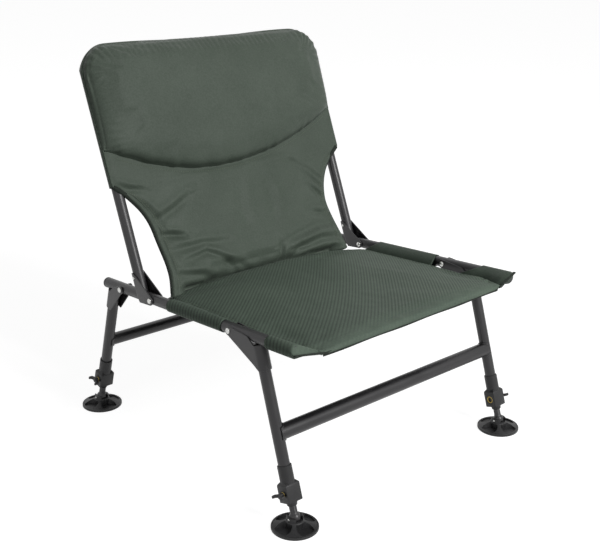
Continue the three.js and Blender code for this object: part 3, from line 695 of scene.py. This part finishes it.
def leg_clamp(z):
    low, high, top = z["block_low"], z["block_high"], z["collar_high"]
    collar = turned([(CHANNEL, high), (CHANNEL, top - 0.5), (10.2, top), (11.0, top), (11.5, top - 0.5),
                     (11.5, high - 4), (CHANNEL, high - 4), (CHANNEL, high)])
    nose = turned([(BORE, z["nose"] + 0.4), (6.7, z["nose"]), (7.6, z["nose"]), (8.0, z["nose"] + 0.4),
                   (9.0, low), (9.0, low + 4), (BORE, low + 4), (BORE, z["nose"] + 0.4)])
    screw = shift(z=z["screw"])
    hole = moved(across(bar(3.3, 0, 30, 32)), screw)
    pocket = moved(across(bar(5.3, 8, 30, 48)), screw)
    inner_pocket = moved(across(bar(6.9, -30, -11.0, 48)), screw)
    return carve(clamp_block(low, high), joined=[collar, nose],
                 cut=[bar(BORE, z["nose"] - 5, top), bar(CHANNEL, high, top + 5), hole, pocket, inner_pocket])


def screw_insert():
    outer = tube(8.3, 14.3, 5.0, 1.7, 40)
    inner = tube(-13.4, -11.0, 6.5, 2.2, 40)
    return across(carve(outer, joined=[inner]))


for end, at, side, sign in leg_places:
    here = beside(at, sign) @ outward(sign)
    piece(f"{end}_clamp_{side}", leg_clamp(heights[end]), here, f"{end}_legs", "black_plastic", nylon,
          [f"{end}_leg_clamp_{side}"], angle=25)
    piece(f"{end}_insert_{side}", screw_insert(), here @ shift(z=heights[end]["screw"]), f"{end}_legs",
          "brass", brass, [f"{end}_screw_insert_{side}"])
print("clamps done")

# %% [markdown]
# The wing screw is one moulding with a plain shank. Its two wings are an outline pulled to 4.5 mm, rounded
# well because fingers turn it with wet gloves.

# %% Wing screws
def wing_screw():
    seat = 14.6
    tip = seat + 13
    outline = [(-4.6, seat + 0.4), (4.6, seat + 0.4), (9, seat + 2.6), (12.3, seat + 5), (12.5, tip - 2),
               (11, tip), (9, tip - 0.4), (7.4, seat + 8.4), (3, seat + 6.6), (-3, seat + 6.6),
               (-7.4, seat + 8.4), (-9, tip - 0.4), (-11, tip), (-12.5, tip - 2), (-12.3, seat + 5),
               (-9, seat + 2.6)]
    wings = rounded(plate(outline, 4.5), 1.1, 25)
    hub = turned([(0, 6.3), (2.6, 6.3), (3.0, 6.7), (3.0, seat), (4.6, seat), (5.0, seat + 0.4),
                  (5.0, seat + 5.4), (4.2, seat + 6.8), (2.4, seat + 7.4), (0, seat + 7.5)], 40)
    return across(carve(hub, joined=[wings]))


for end, at, side, sign in leg_places:
    here = beside(at, sign, heights[end]["screw"]) @ outward(sign)
    name = f"{end}_thumb_screw_{side}"
    piece(f"{end}_wing_screw_{side}", wing_screw(), here, name, "black_plastic", nylon, [name], angle=35)
print("wing screws done")

# %% [markdown]
# The lower leg is a rod that ends in a ball, turned in one profile. The ball sits in the cup of a round
# swivel foot and a zinc pin holds it. The foot is a dished disc with a raised rim, four round wells that
# save material, the ribs that are left between them, and two cheeks beside the ball. It is turned first and
# then milled.

# %% Lower legs and swivel feet
PIN_HEIGHT = 18.0


def lower_leg():
    ball = [(9.5 * math.cos(math.radians(a)), 9.5 * math.sin(math.radians(a))) for a in range(-90, 46, 9)]
    return turned([*ball, (6.3, 7.9), (6.0, 8.6), (6.0, 199.6), (5.6, 200), (0, 200)], 56)


def swivel_foot():
    body = turned([(0, 0), (36.7, 0), (37.5, 0.8), (37.5, 4.0), (37.1, 4.8), (36.3, 5), (35.2, 5),
                   (34.6, 4.8), (30, 6.2), (22, 9.6), (14.8, 12.9), (13.5, 14.0), (13.25, 15),
                   (13.25, 20.4), (12.9, 21.2), (12.1, 21.5), (0, 21.5)], 96)
    ring = turned([(14.2, 2.8), (33.6, 2.8), (34.6, 30), (15.4, 30), (14.2, 2.8)], 96)
    cutters = []
    for quarter in range(4):
        well = moved(bar(13.4, 2.8, 30, 48, top=19), shift(x=25.4))
        well = carve(well, kept=[ring.copy()])
        cutters.append(moved(well, Matrix.Rotation(quarter * math.pi / 2, 4, "Z")))
    ring.free()
    cup = bmesh.new()
    bmesh.ops.create_uvsphere(cup, u_segments=48, v_segments=24, radius=10.3)
    moved(cup, shift(z=PIN_HEIGHT))
    slot = block((-7.25, -40, 16), (7.25, 40, 40))
    mouth = bar(7.2, PIN_HEIGHT, 40, 48)
    pin_hole = moved(across(bar(2.3, -40, 40, 32)), shift(z=PIN_HEIGHT))
    form = carve(body, cut=[*cutters, cup, slot, mouth, pin_hole])
    return moved(form, shift(z=-PIN_HEIGHT))


def foot_pin():
    return across(turned([(0, -13.5), (1.5, -13.5), (2.0, -13.0), (2.0, 13.0), (1.5, 13.5), (0, 13.5)], 32))


for end, at, side, sign in leg_places:
    level = place(pivot[f"{end}_foot_tilt_{side}"], (0, 0, 1))
    piece(f"{end}_rod_{side}", lower_leg(), beside(at, sign, heights[end]["pin"]), f"{end}_lower_leg_{side}",
          "black_steel", steel, [f"{end}_lower_leg_{side}"])
    piece(f"{end}_swivel_{side}", swivel_foot(), level, f"{end}_foot_{side}", "black_plastic", nylon,
          [f"{end}_foot_{side}"], soften=0.6, angle=28)
    piece(f"{end}_pin_{side}", foot_pin(), level, f"{end}_foot_{side}", "zinc_steel", zinc,
          [f"{end}_foot_pin_{side}"])
print("feet done:", count)

# %% [markdown]
# A pad is two skins of cloth sewn together round a sheet of wadding. Two grids are shaped by formula, the
# edges of one are bridged to the other, and a cloth simulation blows the closed pad up while its seams are
# held, so the swelling and the small tensions come from the fabric. The grid is regular, so seams and folds
# keep their place.

# %% Pads
FRAMES = 20


def pad(columns, rows, front, back):
    bm = bmesh.new()
    for skin in (front, back):
        made = bmesh.ops.create_grid(bm, x_segments=columns, y_segments=rows, size=1)
        for vert in made["verts"]:
            vert.co = Vector(skin(vert.co.x, (vert.co.y + 1) / 2))
    bmesh.ops.bridge_loops(bm, edges=open_edges(bm))
    return outfaced(bm)


def subdivided(bm):
    bmesh.ops.subdivide_edges(bm, edges=bm.edges[:], cuts=1, use_grid_fill=True, smooth=1.0,
                              smooth_falloff="LINEAR")
    return bm


def blown_up(form, held, pressure, cap):
    """The form after frames of cloth under pressure. Points that held names stay; none moves past cap."""
    weights = [held(vert.co) for vert in form.verts]
    start = [vert.co.copy() for vert in form.verts]
    bmesh.ops.scale(form, vec=(MM, MM, MM), verts=form.verts)
    thing = shown("pad", mesh_of(form))
    group = thing.vertex_groups.new(name="seams")
    for i, weight in enumerate(weights):
        if weight > 0:
            group.add([i], weight, "REPLACE")
    cloth = thing.modifiers.new("cloth", "CLOTH")
    settings = cloth.settings
    settings.quality = 6
    settings.mass = 0.3
    settings.tension_stiffness = 12
    settings.compression_stiffness = 12
    settings.shear_stiffness = 6
    settings.bending_stiffness = 0.4
    settings.vertex_group_mass = "seams"
    settings.use_pressure = True
    settings.uniform_pressure_force = pressure
    settings.effector_weights.gravity = 0
    cloth.collision_settings.use_collision = False
    cloth.point_cache.frame_start = 1
    cloth.point_cache.frame_end = FRAMES
    for step in range(1, FRAMES + 1):
        bpy.context.scene.frame_set(step)
    bm = bmesh.new()
    bm.from_object(thing, bpy.context.evaluated_depsgraph_get())
    discard(thing)
    bpy.context.scene.frame_set(1)
    bmesh.ops.scale(bm, vec=(1 / MM, 1 / MM, 1 / MM), verts=bm.verts)
    furthest = 0.0
    for vert, was in zip(bm.verts, start):
        step = vert.co - was
        furthest = max(furthest, step.length)
        if step.length > cap:
            vert.co = was + step.normalized() * cap
    print("blown up, furthest point before the cap:", round(furthest, 1), "mm")
    return bm


# %% [markdown]
# Folds are pressed into the finished pad along drawn lines. Each one is a soft valley with a low ridge
# beside it, deepest in the middle and fading to its ends, as a pull in real cloth does.

# %% Folds
def smooth(t):
    t = min(1.0, max(0.0, t))
    return t * t * (3 - 2 * t)


def bell(distance, width):
    return math.exp(-(distance / width) ** 2)


def wobble(*point):
    return noise.noise(point)


def nearest(point, line):
    best = (1e9, 0.0, 0.0)
    total = sum((b - a).length for a, b in zip(line, line[1:]))
    run = 0.0
    for a, b in zip(line, line[1:]):
        way = b - a
        share = min(1.0, max(0.0, (point - a).dot(way) / way.length_squared))
        offset = point - (a + way * share)
        side = math.copysign(1, way.x * offset.y - way.y * offset.x)
        if offset.length < best[0]:
            best = (offset.length, side, (run + share * way.length) / total)
        run += way.length
    return best


def fold_height(point, folds):
    height = 0.0
    for line, depth, width in folds:
        distance, side, along = nearest(point, line)
        if distance > 3.5 * width:
            continue
        ends = math.sin(math.pi * min(1.0, max(0.0, 0.08 + 0.84 * along))) ** 0.7
        valley = -bell(distance, width)
        ridge = 0.7 * bell(side * distance - 1.4 * width, width)
        height += 1.45 * depth * ends * (valley + ridge)
    return height


def lines(*drawn):
    return [([Vector(point) for point in line], depth, width) for line, depth, width in drawn]


# %% [markdown]
# Two helpers finish the sewing. A tape is a flat round-edged band laid along points, for hems and for the
# binding that is folded over a cut edge. Stitches are short threads half sunk in the cloth: a ray dropped
# on the finished pad finds the place and the slope of each one, so they follow every fold.

# %% Tapes and stitches
def tape(points, side, half_width, half_thick):
    bm = bmesh.new()
    last = []
    for i, point in enumerate(points):
        ahead = (points[min(i + 1, len(points) - 1)] - points[max(i - 1, 0)]).normalized()
        flat = (side - ahead * side.dot(ahead)).normalized()
        at = Matrix((flat * half_width, ahead.cross(flat) * half_thick, ahead)).transposed().to_4x4()
        at.translation = point
        made = bmesh.ops.create_circle(bm, segments=14, radius=1, matrix=at)
        ring = list({edge for vert in made["verts"] for edge in vert.link_edges})
        if last:
            bmesh.ops.bridge_loops(bm, edges=last + ring)
        last = ring
    bmesh.ops.holes_fill(bm, edges=open_edges(bm))
    return outfaced(bm)


def sew(bm, cloth, path, toward, pitch=4.2, length=2.8):
    for a, b in zip(path, path[1:]):
        way = b - a
        steps = max(1, round(way.length / pitch))
        for step in range(steps):
            start = a + way * ((step + 0.5) / steps) - toward * 90
            hit, normal, _, _ = cloth.ray_cast(start, toward)
            if hit is None:
                continue
            along = (way - normal * way.dot(normal)).normalized()
            at = Matrix((along * length / 2, normal.cross(along) * 0.5, normal * 0.45)).transposed().to_4x4()
            at.translation = hit + normal * 0.15
            bmesh.ops.create_uvsphere(bm, u_segments=6, v_segments=5, radius=1, matrix=at)


# %% [markdown]
# The seat is one padded panel between the rails. Its face is ribbed cloth. It is full where it meets the
# back, sags a little in front, and rolls over its front edge in a plain band with a seam behind it. Where
# the front brackets need room its sides are cut in. The depth of the padding follows a rounded corner, as
# wadding in a bag does.

# %% Seat panel
SEAT_HALF = 222.0
SEAT_REAR = 117.0
SEAT_FRONT = 529.0
SIDE_ROLL = 84
REAR_ROLL = 26
FRONT_ROLL = 22


def roll(distance, reach, power=2.3):
    t = min(1.0, max(0.0, distance / reach))
    return (1 - (1 - t) ** power) ** (1 / power)


def seat_half(station):
    rear = smooth((190 - station) / 45)
    notch = smooth((station - 352) / 38) * smooth((466 - station) / 34)
    return SEAT_HALF - 11 * rear - 2 * notch - 11 * smooth((station - 470) / 55)


def seat_middle(u, station):
    to_rear = max(0.0, 1 - (station - SEAT_REAR) / 32)
    front = smooth((station - 190) / 240)
    crown = 1 - u * u
    corner = 5 * smooth((195 - station) / 50) * u * u
    return -3 - 3.2 * front * (1 - u) + crown * (4 - 4.2 * front) - 11 * to_rear - corner


def seat_skin(up):
    def skin(u, w):
        w = 0.55 * w + 0.225 * (1 - math.cos(math.pi * w))
        station = SEAT_REAR + (SEAT_FRONT - SEAT_REAR) * w
        half = seat_half(station)
        past = roll((1 - abs(u)) * half, SIDE_ROLL, 1.5) * roll(station - SEAT_REAR, REAR_ROLL)
        past *= roll(SEAT_FRONT - station, FRONT_ROLL)
        thick = 4 + 12 * past
        if up < 0:
            thick *= 1 - 0.75 * smooth((station - 400) / 90)
        tuck = -3.5 * (1 - roll(SEAT_FRONT - station, 24))
        return (u * half, seat_middle(u, station) + up * thick / 2 + tuck,
                station - 3 * u ** 12 * smooth((station - 470) / 59))
    return skin


def seat_pad():
    form = pad(88, 84, seat_skin(1), seat_skin(-1))

    def held(co):
        return 1.0 if abs(co.x) > seat_half(co.z) - 5 or co.z < 119 or co.z > 525 else 0.0

    form = subdivided(blown_up(form, held, pressure=1.4, cap=2.2))
    for vert in form.verts:
        if vert.normal.y < 0.1:
            continue
        x, _, station = vert.co
        seam = -0.5 * bell(station - 509, 2.2) * smooth((SEAT_HALF - 14 - abs(x)) / 12)
        ripple = 0.9 * wobble(x / 46, station / 60, 1.7) + 0.35 * wobble(x / 17, station / 21, 5.1)
        side = seat_half(station) - abs(x)
        inner = smooth(side / 30) * smooth((station - SEAT_REAR) / 30)
        pull = 1.1 * math.sin(station / 6.5 + wobble(station / 40, x / 90, 2.0) * 5)
        edge = pull * smooth(1 - (side - 5) / 24) * smooth(side / 6) * (0.5 + smooth((station - 440) / 40))
        hem = -1.1 * bell(side - 6, 1.8)
        dip = -3.5 * bell(side - 18, 15) * bell(station - 430, 36)
        band = 0.5 * math.sin(x / 7 + 4 * wobble(x / 60, 0, 7.0)) * bell(station - 518, 6)
        vert.co += vert.normal * (seam + ripple * inner + edge + hem + band + dip)
    return form


seat_form = seat_pad()
seat_tree = BVHTree.FromBMesh(seat_form)
seat = cloth_piece("seat_pad", seat_form, rail_at, "seat_frame", seat_cloth, ["seat_panel"], "ribbed_cloth")
print("seat pad:", len(seat.data.polygons), "faces")

# %% [markdown]
# Under the roll the cloth ends in a narrow hem of dark webbing, pressed flat and a little wavy. A row of
# stitches follows each side seam, where the sleeves are sewn on.

# %% Seat hem and stitches
down = Vector((0, -1, 0))
hem_line = [Vector((x, seat_middle(x / SEAT_HALF, SEAT_FRONT) - 4.6 + 0.5 * math.sin(x / 21), 526.5))
            for x in range(-206, 207, 8)]
cloth_piece("seat_hem", tape(hem_line, Vector((0, 1, 0.25)), 3.6, 1.3), rail_at, "seat_frame", trim_cloth)
seat_thread = bmesh.new()
for sign in (-1, 1):
    seam_line = [Vector((sign * (seat_half(z) - 6), 0, z)) for z in range(195, 516, 10)]
    sew(seat_thread, seat_tree, seam_line, down)
cloth_piece("seat_stitches", seat_thread, rail_at, "seat_frame", thread)

# %% [markdown]
# The back is a thick head cushion over a thinner panel. A crescent seam parts them. The cushion's face is
# nearly flat in the middle, rounds off over its outer 86 mm, and bulges over the seam.

# %% Head cushion
HALF = 265.0
TOP = 438.0
CORNER = 54.0
POCKET = 193.0


def seam_height(x):
    return 197 + (0.00085 if x > -36 else 0.00115) * (x + 36) ** 2


def top_height(x):
    past = abs(x) - (HALF - CORNER)
    wave = -2.2 * math.cos(x / 57)
    if past <= 0:
        return TOP + wave
    return TOP + wave - CORNER + math.sqrt(max(0.0, CORNER ** 2 - past ** 2))


def from_edge(x, z):
    past_x, past_z = abs(x) - (HALF - CORNER), z - (TOP - CORNER)
    if past_x > 0 and past_z > 0:
        return CORNER - math.hypot(past_x, past_z)
    return min(HALF - abs(x), TOP - z)


def packed(u, share=0.5):
    return share * math.sin(u * math.pi / 2) + (1 - share) * u


def head_skin(front):
    def skin(u, w):
        x = packed(u, 0.75) * HALF
        w = 0.45 * w + 0.275 * (1 - math.cos(math.pi * w))
        low = seam_height(x)
        z = low + (top_height(x) - low) * w
        if not front:
            return (x, -10.0, z)
        edge = from_edge(x, z)
        full = roll(edge, 86, 2.6) * roll(z - low, 66, 2.5)
        over = 7 * math.sin(math.pi * min(1.0, (z - low) / 44)) * roll(edge, 60)
        return (x, -12.0 - 29.5 * full, z - over)
    return skin


def head_pad():
    form = pad(120, 60, head_skin(True), head_skin(False))
    form = subdivided(blown_up(form, lambda co: 1.0 if co.y > -13.0 else 0.0, pressure=3.0, cap=2.4))
    for vert in form.verts:
        x, y, z = vert.co
        if vert.normal.y > 0.3:
            continue
        edge = from_edge(x, z)
        shallow = smooth((-y - 11) / 8)
        wave = 0.9 * wobble(x / 90, z / 70, 3.3) + 0.3 * wobble(x / 30, z / 30, 8.0)
        corner = smooth((abs(x) - 185) / 60) * smooth((z - 350) / 50)
        angle = math.atan2(z - (TOP - CORNER), abs(x) - (HALF - CORNER))
        pucker = corner * 1.3 * math.sin(angle * 20 + 3 * wobble(x / 30, z / 30, 2.0))
        pucker *= bell(edge - 13, 13)
        along = x if z > 400 else z
        gather = (0.5 if x < 150 else 0.15) * math.sin(along / 1.8 + 5 * wobble(along / 40, edge / 50, 4.0))
        gather *= bell(edge - 18, 17) * (1 - corner)
        seam = -0.8 * bell(edge - 4, 2.0)
        tug = 0.8 * math.sin(x / 8 + 5 * wobble(x / 45, 0, 6.0))
        tug *= bell(z - seam_height(x) - 2, 14) * smooth((edge - 10) / 20)
        vert.co += vert.normal * (wave + pucker + gather + seam + tug) * shallow
    return form


head_form = head_pad()
head = cloth_piece("head_pad", head_form, back_at, "backrest", back_cloth, ["head_cushion"], "padded_cloth")
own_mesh(head)
print("head pad:", len(head.data.polygons), "faces")

# %% [markdown]
# Under the seam the panel is thin and its sides are cut in to a waist, so it pulls in folds that run from
# the edges to the middle and to the seat. The folds are drawn where such a panel creases: two straight ones
# from the upper corner, and several that gather above the seat.

# %% Back panel
def panel_half(z):
    if z >= POCKET:
        return HALF
    if z <= 60:
        return 201 + 10 * ((60 - z) / 70) ** 2
    return 201 + 64 * ((z - 60) / (POCKET - 60)) ** 3


def panel_low(x):
    return -10 - 5 * smooth((-150 - x) / 40) + 1.5 * wobble(x / 38, 0, 2.6)


def panel_forward(x, z):
    """How far the padding is pushed forward where the panel rests on the seat, rolled back under itself."""
    swell = 14 + 5 * (x / 205) ** 2 + 2 * wobble(x / 50, z / 50, 5.2)
    level = 9.5 + 3 * wobble(x / 40, 0, 4.4)
    under = min(1.0, max(0.0, (level - z) / 13)) * smooth((208 - abs(x)) / 34)
    return swell * smooth((100 - z) / 88) - (swell + 8) * (1 - math.sqrt(1 - under ** 2)) * 0.8


def panel_skin(front):
    def skin(u, w):
        across_seam = packed(u) * HALF
        top = seam_height(across_seam) + (3 if front else -0.3)
        low = panel_low(across_seam)
        z = low + (top - low) * w
        x = packed(u) * panel_half(z)
        pocket = smooth((z - POCKET + 39) / 39)
        full = roll((1 - abs(packed(u))) * HALF, 22)
        forward = panel_forward(x, z)
        depth = 6 + 7.5 * full
        depth += (12.2 - depth) * pocket * (1 - full)
        if front:
            return (x, -depth - forward, z)
        return (x, -1.5 - 8.6 * pocket - forward, z)
    return skin


panel_folds = lines(
    ([(-200, 120), (-160, 134), (-119, 154)], 3.6, 8),
    ([(-196, 95), (-172, 91), (-150, 84)], 4.2, 6),
    ([(-192, 62), (-120, 63), (-61, 57)], 3.4, 8),
    ([(-165, 40), (-118, 47), (-85, 28), (-58, -4)], 4.4, 7),
    ([(53, 30), (48, 12), (45, -6)], 3.8, 6),
    ([(205, 12), (150, 20), (97, 14), (67, -6)], 4.6, 8),
    ([(203, 44), (150, 47), (89, 36), (50, 26)], 4.2, 9),
    ([(125, 190), (166, 160), (208, 128)], 2.4, 4.5),
    ([(127, 182), (168, 147), (207, 109)], 2.8, 4.5),
    ([(160, 128), (200, 92)], 3.0, 6),
    ([(-252, 193), (-232, 184), (-205, 178)], 2.8, 6),
    ([(-222, 160), (-205, 140), (-190, 116)], 3.0, 8),
    ([(-195, 20), (-140, 10), (-110, -4)], 3.6, 7),
    ([(-110, 22), (-70, 20), (-30, -4)], 3.2, 8),
    ([(140, 78), (175, 68), (202, 68)], 3.2, 7),
    ([(0, 165), (-12, 120), (-8, 70)], 1.6, 12),
    ([(60, 150), (64, 110), (52, 70)], 1.6, 12))


def panel_pad():
    form = pad(108, 56, panel_skin(True), panel_skin(False))

    def held(co):
        if co.z > seam_height(co.x) - 2 or co.z < panel_low(co.x) + 1:
            return 1.0
        return 1.0 if abs(co.x) > panel_half(co.z) - 3 or co.z > POCKET + 5 and abs(co.x) > 236 else 0.0

    form = subdivided(blown_up(form, held, pressure=2.5, cap=5.0))
    for vert in form.verts:
        if vert.normal.y > -0.1:
            continue
        x, _, z = vert.co
        inner = smooth((panel_half(z) - abs(x)) / 16) * smooth((seam_height(x) - z) / 12)
        height = fold_height(Vector((x, z)), panel_folds)
        slow = 1.3 * wobble(x / 60, z / 75, 6.2) + 0.4 * wobble(x / 24, z / 30, 9.4)
        hem = -1.6 * bell(panel_half(z) - abs(x) - 8, 2.2) * smooth((POCKET + 12 - z) / 20)
        vert.co += Vector((0, -1, 0)) * ((height + slow) * inner + hem)
    return form


panel_form = panel_pad()
panel_tree = BVHTree.FromBMesh(panel_form)
panel = cloth_piece("back_pad", panel_form, back_at, "backrest", back_cloth, ["back_panel"], "padded_cloth")
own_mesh(panel)
print("back pad:", len(panel.data.polygons), "faces")

# %% [markdown]
# The cut sides of the panel are bound with dark webbing folded over the edge. Twin rows of stitches hold
# the binding, and one row runs under the crescent seam. The thread is a shade lighter than the cloth.

# %% Binding and stitches of the back
inward = Vector((0, 1, 0))
back_thread = bmesh.new()
for side, sign in sides:
    edge_line = []
    for step in range(54):
        z = -8.5 + step * 3.8
        half = panel_half(min(z, POCKET - 0.5))
        forward = panel_forward(half, z)
        edge_line.append(Vector((sign * (half - 2.5), -4.4 - forward - 5.2 * smooth((z - 154) / 39), z)))
    binding = cloth_piece(f"back_binding_{side}", tape(edge_line, Vector((1, 0, 0)), 4.4, 4.0), back_at,
                          "backrest", trim_cloth)
    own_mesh(binding)
    for inset in (9, 13):
        row = [point - Vector((sign * inset, 0, 0)) for point in edge_line[2:-2:3]]
        sew(back_thread, panel_tree, row, inward)
crescent = [Vector((x, 0, seam_height(x) - 7)) for x in range(-245, 246, 14)]
sew(back_thread, panel_tree, crescent, inward)
stitches = cloth_piece("back_stitches", back_thread, back_at, "backrest", thread)
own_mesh(stitches)
print("bindings done")

# %% [markdown]
# Behind the frame the hood is a single skin of the same cloth. A grid bends forward round the tube within
# 20 mm of its edge and is thickened to 1.2 mm.

# %% Rear cover
def cover_skin(u, w):
    x = packed(u) * HALF
    z = POCKET + (top_height(x) - POCKET) * w
    edge = min(HALF - abs(x), top_height(x) - z)
    inset = min(1.0, max(0.0, edge / 20.0))
    y = -10.5 + 23.0 * math.sqrt(max(0.0, 1 - (1 - inset) ** 2))
    return (x, y, z)


def rear_skin():
    bm = bmesh.new()
    made = bmesh.ops.create_grid(bm, x_segments=120, y_segments=60, size=1)
    for vert in made["verts"]:
        w = (vert.co.y + 1) / 2
        vert.co = Vector(cover_skin(packed(vert.co.x, 0.35), 1 - (1 - w) ** 1.4))
    return outfaced(bm)


cover = cloth_piece("hood_rear", rear_skin(), back_at, "backrest", back_cloth, ["back_cover_rear"])
thickened(cover, -1)
print("hood:", len(cover.data.polygons), "faces")

# %% [markdown]
# Four sleeves wrap the rails and are sewn to the seat panel's sides. The left ones are of the seat's ribbed
# cloth and the right ones of plain cloth, painted darker than the seat's: a painted shade for the side of the
# chair turned from the light. Each is a strip that leaves the panel, goes over the rail and comes back under
# it. Drawn as one open profile and given a thickness, it keeps the tube's round above and the flat flap
# beside it.

# %% Sleeves
def sleeve_profile(sign):
    radius = TUBE + 1.0
    reach = HALF_SPACING - SEAT_HALF + 1
    centre = sign * HALF_SPACING
    points = [(centre - sign * reach, -1.6)]
    for step in range(22):
        turn = math.radians(105 - 10 * step)
        points.append((centre + sign * radius * math.cos(turn), radius * math.sin(turn)))
    points.append((centre - sign * reach, -4.4))
    return points


def sleeve(sign, start, end, slants, levels=None):
    """A strip round the rail; slants move its ends at the seam, levels close its front end to a flat hem."""
    bm = bmesh.new()
    profile = [bm.verts.new((x, y, start)) for x, y in sleeve_profile(sign)]
    edges = [bm.edges.new(pair) for pair in zip(profile, profile[1:])]
    steps = max(4, round((end - start) / 3))
    for _ in range(steps):
        edges = pulled(bm, edges, (0, 0, (end - start) / steps))
    for vert in bm.verts:
        x, y, z = vert.co
        inward = HALF_SPACING - abs(x)
        share = (z - start) / (end - start)
        z += (slants[0] * (1 - share) + slants[1] * share) * smooth((inward - 5) / 20)
        to_seam = max(0.0, inward / 29)
        flap = smooth((inward - 4) / 22)
        seam = HALF_SPACING + 1 - seat_half(z)
        inward += (seam - 29) * to_seam
        ripple = 0.6 * math.sin(z / 5.5 + 4 * wobble(z / 40, x / 20, 1.0))
        y += (seat_middle(sign, z) + 3) * flap + ripple * flap * (1 if y > -3 else 0.4)
        if levels:
            outer_x, outer, inner = levels
            closed = smooth((z - 516.5) / 9)
            across_hem = (inward + 10.5) / (seam + 10.5)
            hem = outer + (inner - outer) * across_hem + (0.7 if y > (outer + inner) / 2 else -0.7)
            y += (hem - y) * closed
            inward += (260.5 - outer_x) * closed * (1 - across_hem)
            z -= 3.5 * smooth((z - 505) / 20) * (1 - across_hem)
        vert.co = Vector((sign * (HALF_SPACING - inward), y, z))
    return outfaced(bm)


def strip_length(points):
    return sum(math.dist(a, b) for a, b in zip(points, points[1:])) * MM


closing = {"left": (261, -1.5, -10.5), "right": (252.5, 10.5, -5.5)}
# The right sleeves get the plain cloth with painted shade.
sleeve_finish = {"left": seat_cloth, "right": shaded_sleeve_cloth}
for side, sign in sides:
    for where, start, end, slants, levels in (("rear", 199, 347, (-13, 12), None),
                                              ("front", 456, 528, (-26, 1), closing[side])):
        strip = cloth_piece(f"sleeve_{where}_{side}", sleeve(sign, start, end, slants, levels), rail_at,
                            "seat_frame", sleeve_finish[side], [f"seat_sleeve_{where}_{side}"])
        thickened(strip, 0)
        strip_length(sleeve_profile(sign))
    outer_x, outer, inner = closing[side]
    tip = Vector((sign * outer_x, outer, 524.5))
    corner = Vector((sign * (seat_half(SEAT_FRONT) - 5), inner, 527.5))
    hem = [tip.lerp(corner, t / 12) for t in range(13)]
    cloth_piece(f"sleeve_hem_{side}", tape(hem, Vector((0, 0.3, 1)), 2.6, 1.7), rail_at, "seat_frame",
                trim_cloth)
print("sleeves done")

# %% [markdown]
# The camera stands where the photographer stood: 41.6 degrees to the sitter's right, looking down by 19
# degrees. The lens follows from how fast the far side of the chair grows smaller.

# %% Camera
def look():
    azimuth, elevation, tilt = (math.radians(a) for a in (-41.587, 19.007, 0.215))
    back = Vector((math.sin(azimuth) * math.cos(elevation), -math.cos(azimuth) * math.cos(elevation),
                   math.sin(elevation)))
    right = Vector((math.cos(azimuth), math.sin(azimuth), 0))
    up = back.cross(right)
    right, up = (right * math.cos(tilt) + up * math.sin(tilt), up * math.cos(tilt) - right * math.sin(tilt))
    return Matrix((right, up, back)).transposed().to_4x4()


camera_data = bpy.data.cameras.new("camera")
camera_data.sensor_width = 36
camera_data.lens = 60.62
camera = bpy.data.objects.new("camera", camera_data)
camera.matrix_world = Matrix.Translation((-1.1397, -1.2955, 0.8763)) @ look()
bpy.context.scene.collection.objects.link(camera)
bpy.context.scene.camera = camera

# %% [markdown]
# The studio is a pale floor, a wide lamp high in front of the chair, and two weak ones, at the left and
# behind it on the right. To the camera, to reflections and to light that passes through, the floor and the
# world look white. To all other light the floor is grey and the world dim, so the white background adds no
# diffuse light.

# %% Studio
def white_to_camera(tree):
    path = add(tree, "ShaderNodeLightPath")
    seen = maths(tree, "MAXIMUM", (path, "Is Camera Ray"), (path, "Is Glossy Ray"))
    return maths(tree, "MAXIMUM", (seen, "Value"), (path, "Is Transmission Ray"))


floor_form = bmesh.new()
bmesh.ops.create_grid(floor_form, x_segments=2, y_segments=2, size=60)
floor = shown("floor", mesh_of(floor_form))
paper, tree = new_finish("matt_white_paper")
paper_grain = add(tree, "ShaderNodeTexNoise", {"Scale": 30.0})
paper_colour = ramp(tree, (paper_grain, "Fac"), [(0.0, "#9a9a9a"), (1.0, "#a2a2a2")])
matt = add(tree, "ShaderNodeBsdfDiffuse", {"Color": (paper_colour, "Color"), "Roughness": 0.9})
lit = add(tree, "ShaderNodeBsdfDiffuse", {"Color": (0.35, 0.35, 0.35, 1), "Roughness": 0.9})
glow = add(tree, "ShaderNodeEmission", {"Color": (1, 1, 1, 1), "Strength": 0.93})
page = add(tree, "ShaderNodeAddShader", {0: (lit, "BSDF"), 1: (glow, "Emission")})
both = add(tree, "ShaderNodeMixShader", {0: (white_to_camera(tree), "Value"), 1: (matt, "BSDF"),
                                         2: (page, "Shader")})
add(tree, "ShaderNodeOutputMaterial", {"Surface": (both, "Shader")})
floor.data.materials.append(paper)

world = bpy.data.worlds.new("studio")
bpy.context.scene.world = world
world.use_nodes = True
tree = world.node_tree
tree.nodes.clear()
sky = add(tree, "ShaderNodeBackground", {"Color": (1, 1, 1, 1), "Strength": 0.11})
page = add(tree, "ShaderNodeBackground", {"Color": (1, 1, 1, 1), "Strength": 1.0})
both = add(tree, "ShaderNodeMixShader", {0: (white_to_camera(tree), "Value"), 1: (sky, "Background"),
                                         2: (page, "Background")})
add(tree, "ShaderNodeOutputWorld", {"Surface": (both, "Shader")})


def lamp(name, position, target, power, size):
    data = bpy.data.lights.new(name, "AREA")
    data.energy = power
    data.size = size
    thing = bpy.data.objects.new(name, data)
    thing.location = position
    thing.rotation_euler = (Vector(target) - Vector(position)).to_track_quat("-Z", "Y").to_euler()
    bpy.context.scene.collection.objects.link(thing)


lamp("key", (0.45, -2.72, 2.0), (0, 0, 0.35), power=70, size=1.2)
lamp("fill", (-2.8, -0.9, 1.3), (0, 0, 0.35), power=3, size=1.2)
lamp("rim", (1.4, 2.0, 2.4), (0, 0, 0.4), power=2.5, size=1.4)
bpy.context.scene.view_settings.view_transform = "Standard"
